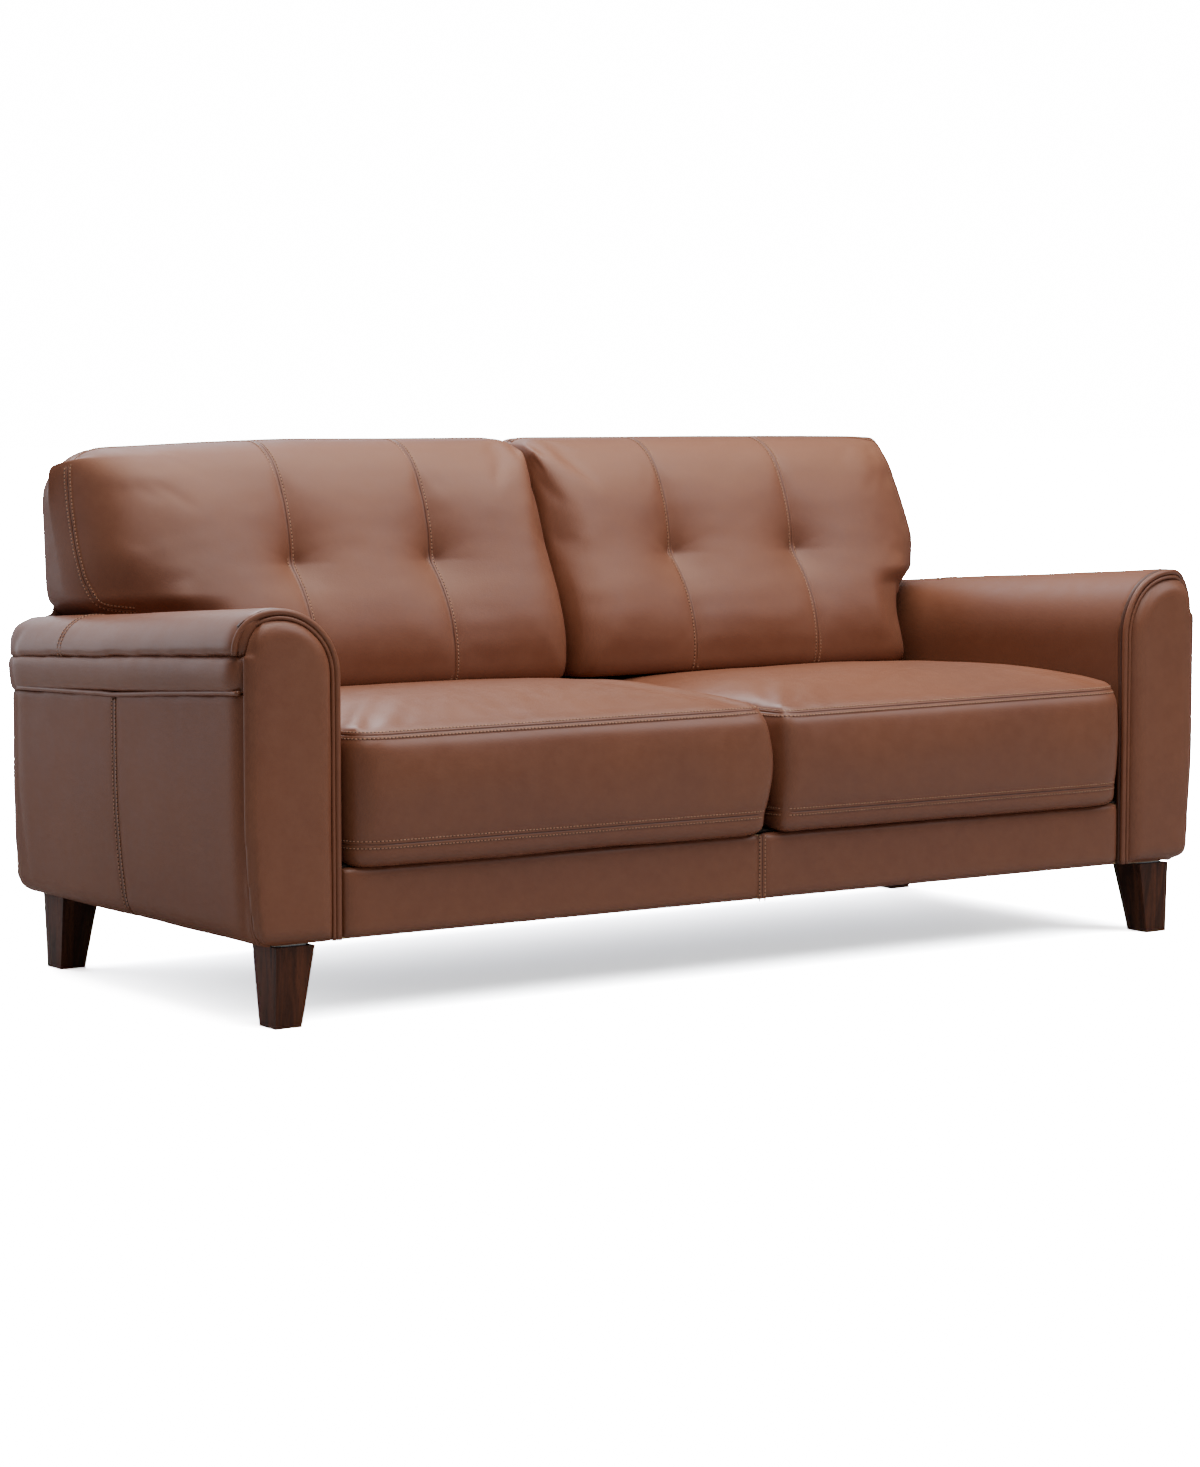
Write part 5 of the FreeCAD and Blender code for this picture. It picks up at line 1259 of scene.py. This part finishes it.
def arm_band(side, sign, seed):
    """The puffed band between the pad's lip and the side panels."""
    node = f"{side}_arm_side_band"
    piece = soft_cover(
        f"{side}_arm_band", node, sign, hide, 0.006, rounds=7, swell=0.0015, seed=seed + 1, fill=0.6
    )
    co = points_of(piece)
    x, y, z = co.T
    foot = band_foot(y)
    rise = np.clip((z - foot) / (BAND_TOP - foot), 0, 1)
    puff = 0.0055 * np.sin(math.pi * rise**0.85) - 0.004 * ramp(rise, 0.7, 1.0)
    puff += 0.0016 * slow_noise(co, 15.0, seed + 9, (1.0, 1.0, 0.4)) * ramp(rise, 0.4, 0.9)
    x += sign * ramp(sign * x, 1.004, 1.014) * puff
    set_points(piece, co)
    return piece


def side_panel(side, sign, end, seed):
    """One of the two panels below the band, its joining edge moved to the side seam."""
    node = f"{side}_arm_{end}_side_panel"
    piece = soft_cover(
        f"{side}_side_{end}", node, sign, side_hide, 0.007,
        rounds=3, swell=0.0005, seed=seed + 2, fill=0.7,
    )
    co = points_of(piece)
    co[:, 1] += (SIDE_SEAM - PANEL_JOIN) * bell(co[:, 1] - PANEL_JOIN, 0.12)
    set_points(piece, co)
    return piece


def welt_depth(across):
    """How far back the welt lies, furthest at its outer end."""
    return 0.003 * ramp(-across, -0.95, -0.87) + 0.022 * ramp(across, 0.955, 1.02)


def welt_line(side, inset, ends_early):
    """The way of a welt up the inner side, over the arch and down to the pad's lip."""
    low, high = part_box(f"{side}_arm_welt")
    inner, outer = near_and_far(f"{side}_arm_welt")
    crown = inner + ARM_ROUND
    foot = high.z - ARM_ROUND
    line = [(inner + inset, z) for z in np.linspace(low.z + 0.004, foot, 30)]
    line += arc((crown, foot), ARM_ROUND - inset, 177, 90, 29)
    down = arc((crown, high.z - (outer - crown)), outer - crown - inset, 86, 0, 19)
    return line + down[:12] if ends_early else line + down + [(outer - inset, high.z - 0.076)]


def lay_welt(side, sign, label, section, folds, inset, depth):
    """A section drawn round the arm front, between the pad and the facing."""
    line = welt_line(side, inset, label == "bed")
    points = np.array([(sign * x, depth + welt_depth(x), z) for x, z in line])
    settle(points, side)
    normals = np.tile(np.array([0.0, -1.0, 0.0]), (len(points), 1))
    places = stations(points, normals, CORD_PITCH, rounds=1)
    piece = place_mesh(f"{side}_welt_{label}", sweep(section, True, places, folds), hide)
    attach(piece)
    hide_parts(f"{side}_arm_welt")


def welt(side, sign):
    """The rolled edge of the pad, the cord of the facing, and a dark strip behind them, painted
    shade in the gap.
    """
    for label, (radius, inset, depth) in WELT_CORDS.items():
        lay_welt(side, sign, label, ring_section(radius, 12), None, inset, depth)
    lay_welt(side, sign, "bed", WELT_SHADE_STRIP, [1.0] * len(WELT_SHADE_STRIP), 0.010, -0.4035)


def band_cord(side, sign):
    """The cord along the foot of the band."""
    along = np.linspace(-0.4, 0.4, 60)
    inward = 0.0055 * ramp(along, 0.05, 0.43) + 0.012 * ramp(along, 0.385, 0.425)
    across = sign * (SIDE_FACE - inward)
    line = np.column_stack([across, along, band_foot(along) - 0.001])
    piping(f"{side}_band_cord", (), line, (sign, 0.0, 0.0), radius=0.0042, sink=0.0042)


def flank_seam(side, sign, flank):
    """The seam down the side, halfway between the two panels' surfaces beside their joint."""
    heights = np.linspace(0.152, 0.499, 24)
    hints = [(sign, 0.0, 0.0)] * 24
    before, behind = [
        lie_on(flank, [(sign * 1.03, SIDE_SEAM + shift, z) for z in heights], hints)[0]
        for shift in (-0.013, 0.013)
    ]
    line = (before + behind) / 2 - np.array([sign * 0.0003, 0.0, 0.0])
    sew(f"{side}_flank", (), line, hints, wide=1.1, tall=0.35)


def pad_seam(side, sign, pad):
    """The seam across the pad, from above its lip over the crown."""
    height = arm_top(PAD_SEAM, side)
    line = [(sign * 1.026, PAD_SEAM, height - 0.065), (sign * 1.024, PAD_SEAM, height - 0.05)]
    hints = [(sign, 0.0, 0.0)] * 2
    for a in np.radians(np.linspace(10, 104, 20)):
        reach = 0.07 if a < math.pi / 2 else ARM_ROUND
        across = ARM_CROWN_LINE + reach * math.cos(a)
        line.append((sign * across, PAD_SEAM, height - reach * (1 - math.sin(a))))
        hints.append((sign * math.cos(a), 0.0, math.sin(a)))
    sew(f"{side}_pad", [tree_of(pad)], line, hints, wide=0.6, tall=0.6)


def arm(side, sign, seed):
    pad = arm_pad(side, sign, seed)
    arm_facing(side, sign, seed)
    band = arm_band(side, sign, seed)
    flank = [tree_of(side_panel(side, sign, end, seed)) for end in ("front", "rear")]
    welt(side, sign)
    band_cord(side, sign)
    flank_seam(side, sign, flank)
    edge = [(sign * 1.03, ARM_FRONT + 0.0045, z) for z in np.linspace(0.14, 0.592, 30)]
    outside = flank + [tree_of(band)]
    piping(f"{side}_front_edge", outside, edge, (sign, 0.0, 0.0), radius=0.0026, sink=0.0012)
    pad_seam(side, sign, pad)


# Front rail and outside back


def rail_pad(side, sign, seed):
    """Half of the front rail's cover, drawn out a little towards the arm."""
    node = f"{side}_rail_cover"
    piece = soft_cover(
        f"{side}_rail_pad", node, sign, hide, 0.007, rounds=5, swell=0.0015, seed=seed, fill=0.7
    )
    co = points_of(piece)
    co[:, 0] += sign * 0.006 * ramp(np.abs(co[:, 0]), 0.79, 0.835)
    set_points(piece, co)


def rail_seam():
    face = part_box("right_rail_cover")[0].y - 0.001
    line = [(0.0, face, z) for z in np.linspace(0.245, 0.136, 14)]
    sew("rail", (), line, [(0, -1, 0)] * 14)


def outside_back():
    """Padded panel over the rear, stepped in above the arms, with soft edges."""
    low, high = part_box("outside_back")
    top = high.z - 0.002
    ear = 0.922
    half = [(0.958, low.z + 0.001), (0.982, low.z + 0.010), (0.993, low.z + 0.03)]
    half += [(1.0005, 0.3), (1.003, 0.42), (1.003, 0.565)]
    half += arc((0.9670, 0.572), 0.036, 10, 80, 6)
    half += [(ear + 0.012, 0.618), (ear + 0.002, 0.628), (ear, 0.65), (ear, 0.79)]
    half += arc((ear - 0.075, 0.785), 0.075, 8, 84, 8)
    half += [(0.06, top), (0.022, top + 0.014)]
    outline = half + [(-x, z) for x, z in reversed(half)]
    bm = slab(outline, low.y + 0.0005, high.y + 0.002, 1)
    piece = place_mesh("outside_back_panel", bm, hide)
    remesh(piece, 0.0078)
    relax(piece, 3)
    co = points_of(piece)
    behind = ramp(co[:, 1], low.y + 0.002, high.y)
    co[:, 1] += behind * (0.0015 + 0.0012 * slow_noise(co, 2.5, 9))
    set_points(piece, co)
    dress(piece, "outside_back", fill=0.9)


blanks = []
for side, sign in SIDES:
    blanks += [seat_blank(side), back_blank(side)]
inflate(blanks)
for index, (side, sign) in enumerate(SIDES):
    seat_finish(blanks[2 * index][0], side, sign, 1 + 10 * index)
    back_finish(blanks[2 * index + 1][0], side, sign, 2 + 10 * index)
    arm(side, sign, 4 + 10 * index)
    rail_pad(side, sign, 6 + 10 * index)
rail_seam()
outside_back()


# Floor, light and camera

# Half the side of the floor, its brightness near the sofa and far away, and where it changes
FLOOR_HALF = 60.0
FLOOR_NEAR = 38.0
FLOOR_FAR = 400.0
FLOOR_FADE = (2.6, 9.0)
# Strength of the surround as light, and as the camera sees it
WORLD_LIGHT = 0.15
WORLD_SEEN = 16.0
# Each light's place, aim, size, power and tint
LIGHTS = {
    "key": ((-2.4, -3.2, 4.6), (0.0, 0.0, 0.5), (3.0, 3.0), 30.0, (1.0, 1.0, 1.0)),
    "top": ((0.3, -0.5, 4.6), (0.0, 0.1, 0.4), (5.0, 4.0), 270.0, (1.0, 0.985, 0.97)),
    "fill": ((2.9, -3.5, 4.0), (0.0, 0.0, 0.5), (3.0, 2.4), 105.0, (0.92, 0.95, 1.0)),
    "behind": ((0.3, 3.4, 4.3), (-0.7, 0.0, 0.5), (2.4, 1.6), 104.0, (0.95, 0.95, 1.0)),
    "card": ((-2.6, 5.5, 2.6), (-2.6, 0.0, 2.6), (12.8, 5.0), 300.0, (0.9, 0.92, 1.0)),
}
# Turn to the right and tilt down in degrees, lens in millimetres
CAMERA_PLACE = (-3.8315, -5.444, 0.999)
CAMERA_TURN = 34.773
CAMERA_TILT = 5.213
CAMERA_LENS = 90.476


def show_or_light(tree, output, lit, shown):
    """One shader for the light that is cast, and one for what the camera sees."""
    ray = tree.nodes.new("ShaderNodeLightPath")
    mix = tree.nodes.new("ShaderNodeMixShader")
    for socket, value in zip(mix.inputs, (ray.outputs["Is Camera Ray"], lit, shown)):
        put(tree, socket, value)
    put(tree, output.inputs[0], mix.outputs[0])


def pale_floor():
    """White floor that keeps a soft grey shadow, and fades into the white surround."""
    material, tree, shader = new_material("pale_floor", gloss=0.1)
    shader["Base Color"].default_value = (0.4, 0.4, 0.4, 1.0)
    shader["Roughness"].default_value = 0.9
    away = add_node(tree, "ShaderNodeVectorMath", _operation="LENGTH")
    put(tree, away.inputs[0], object_place(tree))
    level = span(tree, away.outputs["Value"], *FLOOR_FADE, FLOOR_NEAR, FLOOR_FAR)
    shade = add_node(tree, "ShaderNodeCombineColor", Red=level, Green=level, Blue=level)
    shown = add_node(tree, "ShaderNodeBsdfDiffuse", Color=shade.outputs[0])
    output = next(node for node in tree.nodes if node.type == "OUTPUT_MATERIAL")
    show_or_light(tree, output, output.inputs[0].links[0].from_socket, shown.outputs[0])
    return material


def floor():
    bm = bmesh.new()
    bmesh.ops.create_grid(bm, x_segments=1, y_segments=1, size=FLOOR_HALF)
    place_mesh("floor", bm, pale_floor())


def surround():
    """A white room, brighter to the camera than the light it casts."""
    world = bpy.data.worlds.new("studio")
    bpy.context.scene.world = world
    world.use_nodes = True
    tree = world.node_tree
    tree.nodes.clear()
    lit = add_node(tree, "ShaderNodeBackground", Color=(1.0, 1.0, 1.0), Strength=WORLD_LIGHT)
    shown = add_node(tree, "ShaderNodeBackground", Color=(1.0, 1.0, 1.0), Strength=WORLD_SEEN)
    output = tree.nodes.new("ShaderNodeOutputWorld")
    show_or_light(tree, output, lit.outputs[0], shown.outputs[0])


def lights():
    """Soft rectangular lights, out of the camera's sight."""
    for name, (place, aim, size, power, tint) in LIGHTS.items():
        lamp = bpy.data.lights.new(name, "AREA")
        lamp.shape = "RECTANGLE"
        lamp.size, lamp.size_y = size
        lamp.energy = power
        lamp.color = tint
        holder = bpy.data.objects.new(name, lamp)
        holder.location = place
        holder.rotation_euler = (Vector(aim) - Vector(place)).to_track_quat("-Z", "Y").to_euler()
        holder.visible_camera = False
        bpy.context.scene.collection.objects.link(holder)


def camera():
    lens = bpy.data.cameras.new("camera")
    lens.lens = CAMERA_LENS
    lens.sensor_width = 36.0
    lens.sensor_fit = "AUTO"
    lens.clip_end = 200.0
    holder = bpy.data.objects.new("camera", lens)
    holder.location = CAMERA_PLACE
    holder.rotation_euler = (math.radians(90 - CAMERA_TILT), 0, math.radians(-CAMERA_TURN))
    bpy.context.scene.collection.objects.link(holder)
    bpy.context.scene.camera = holder


floor()
surround()
lights()
camera()
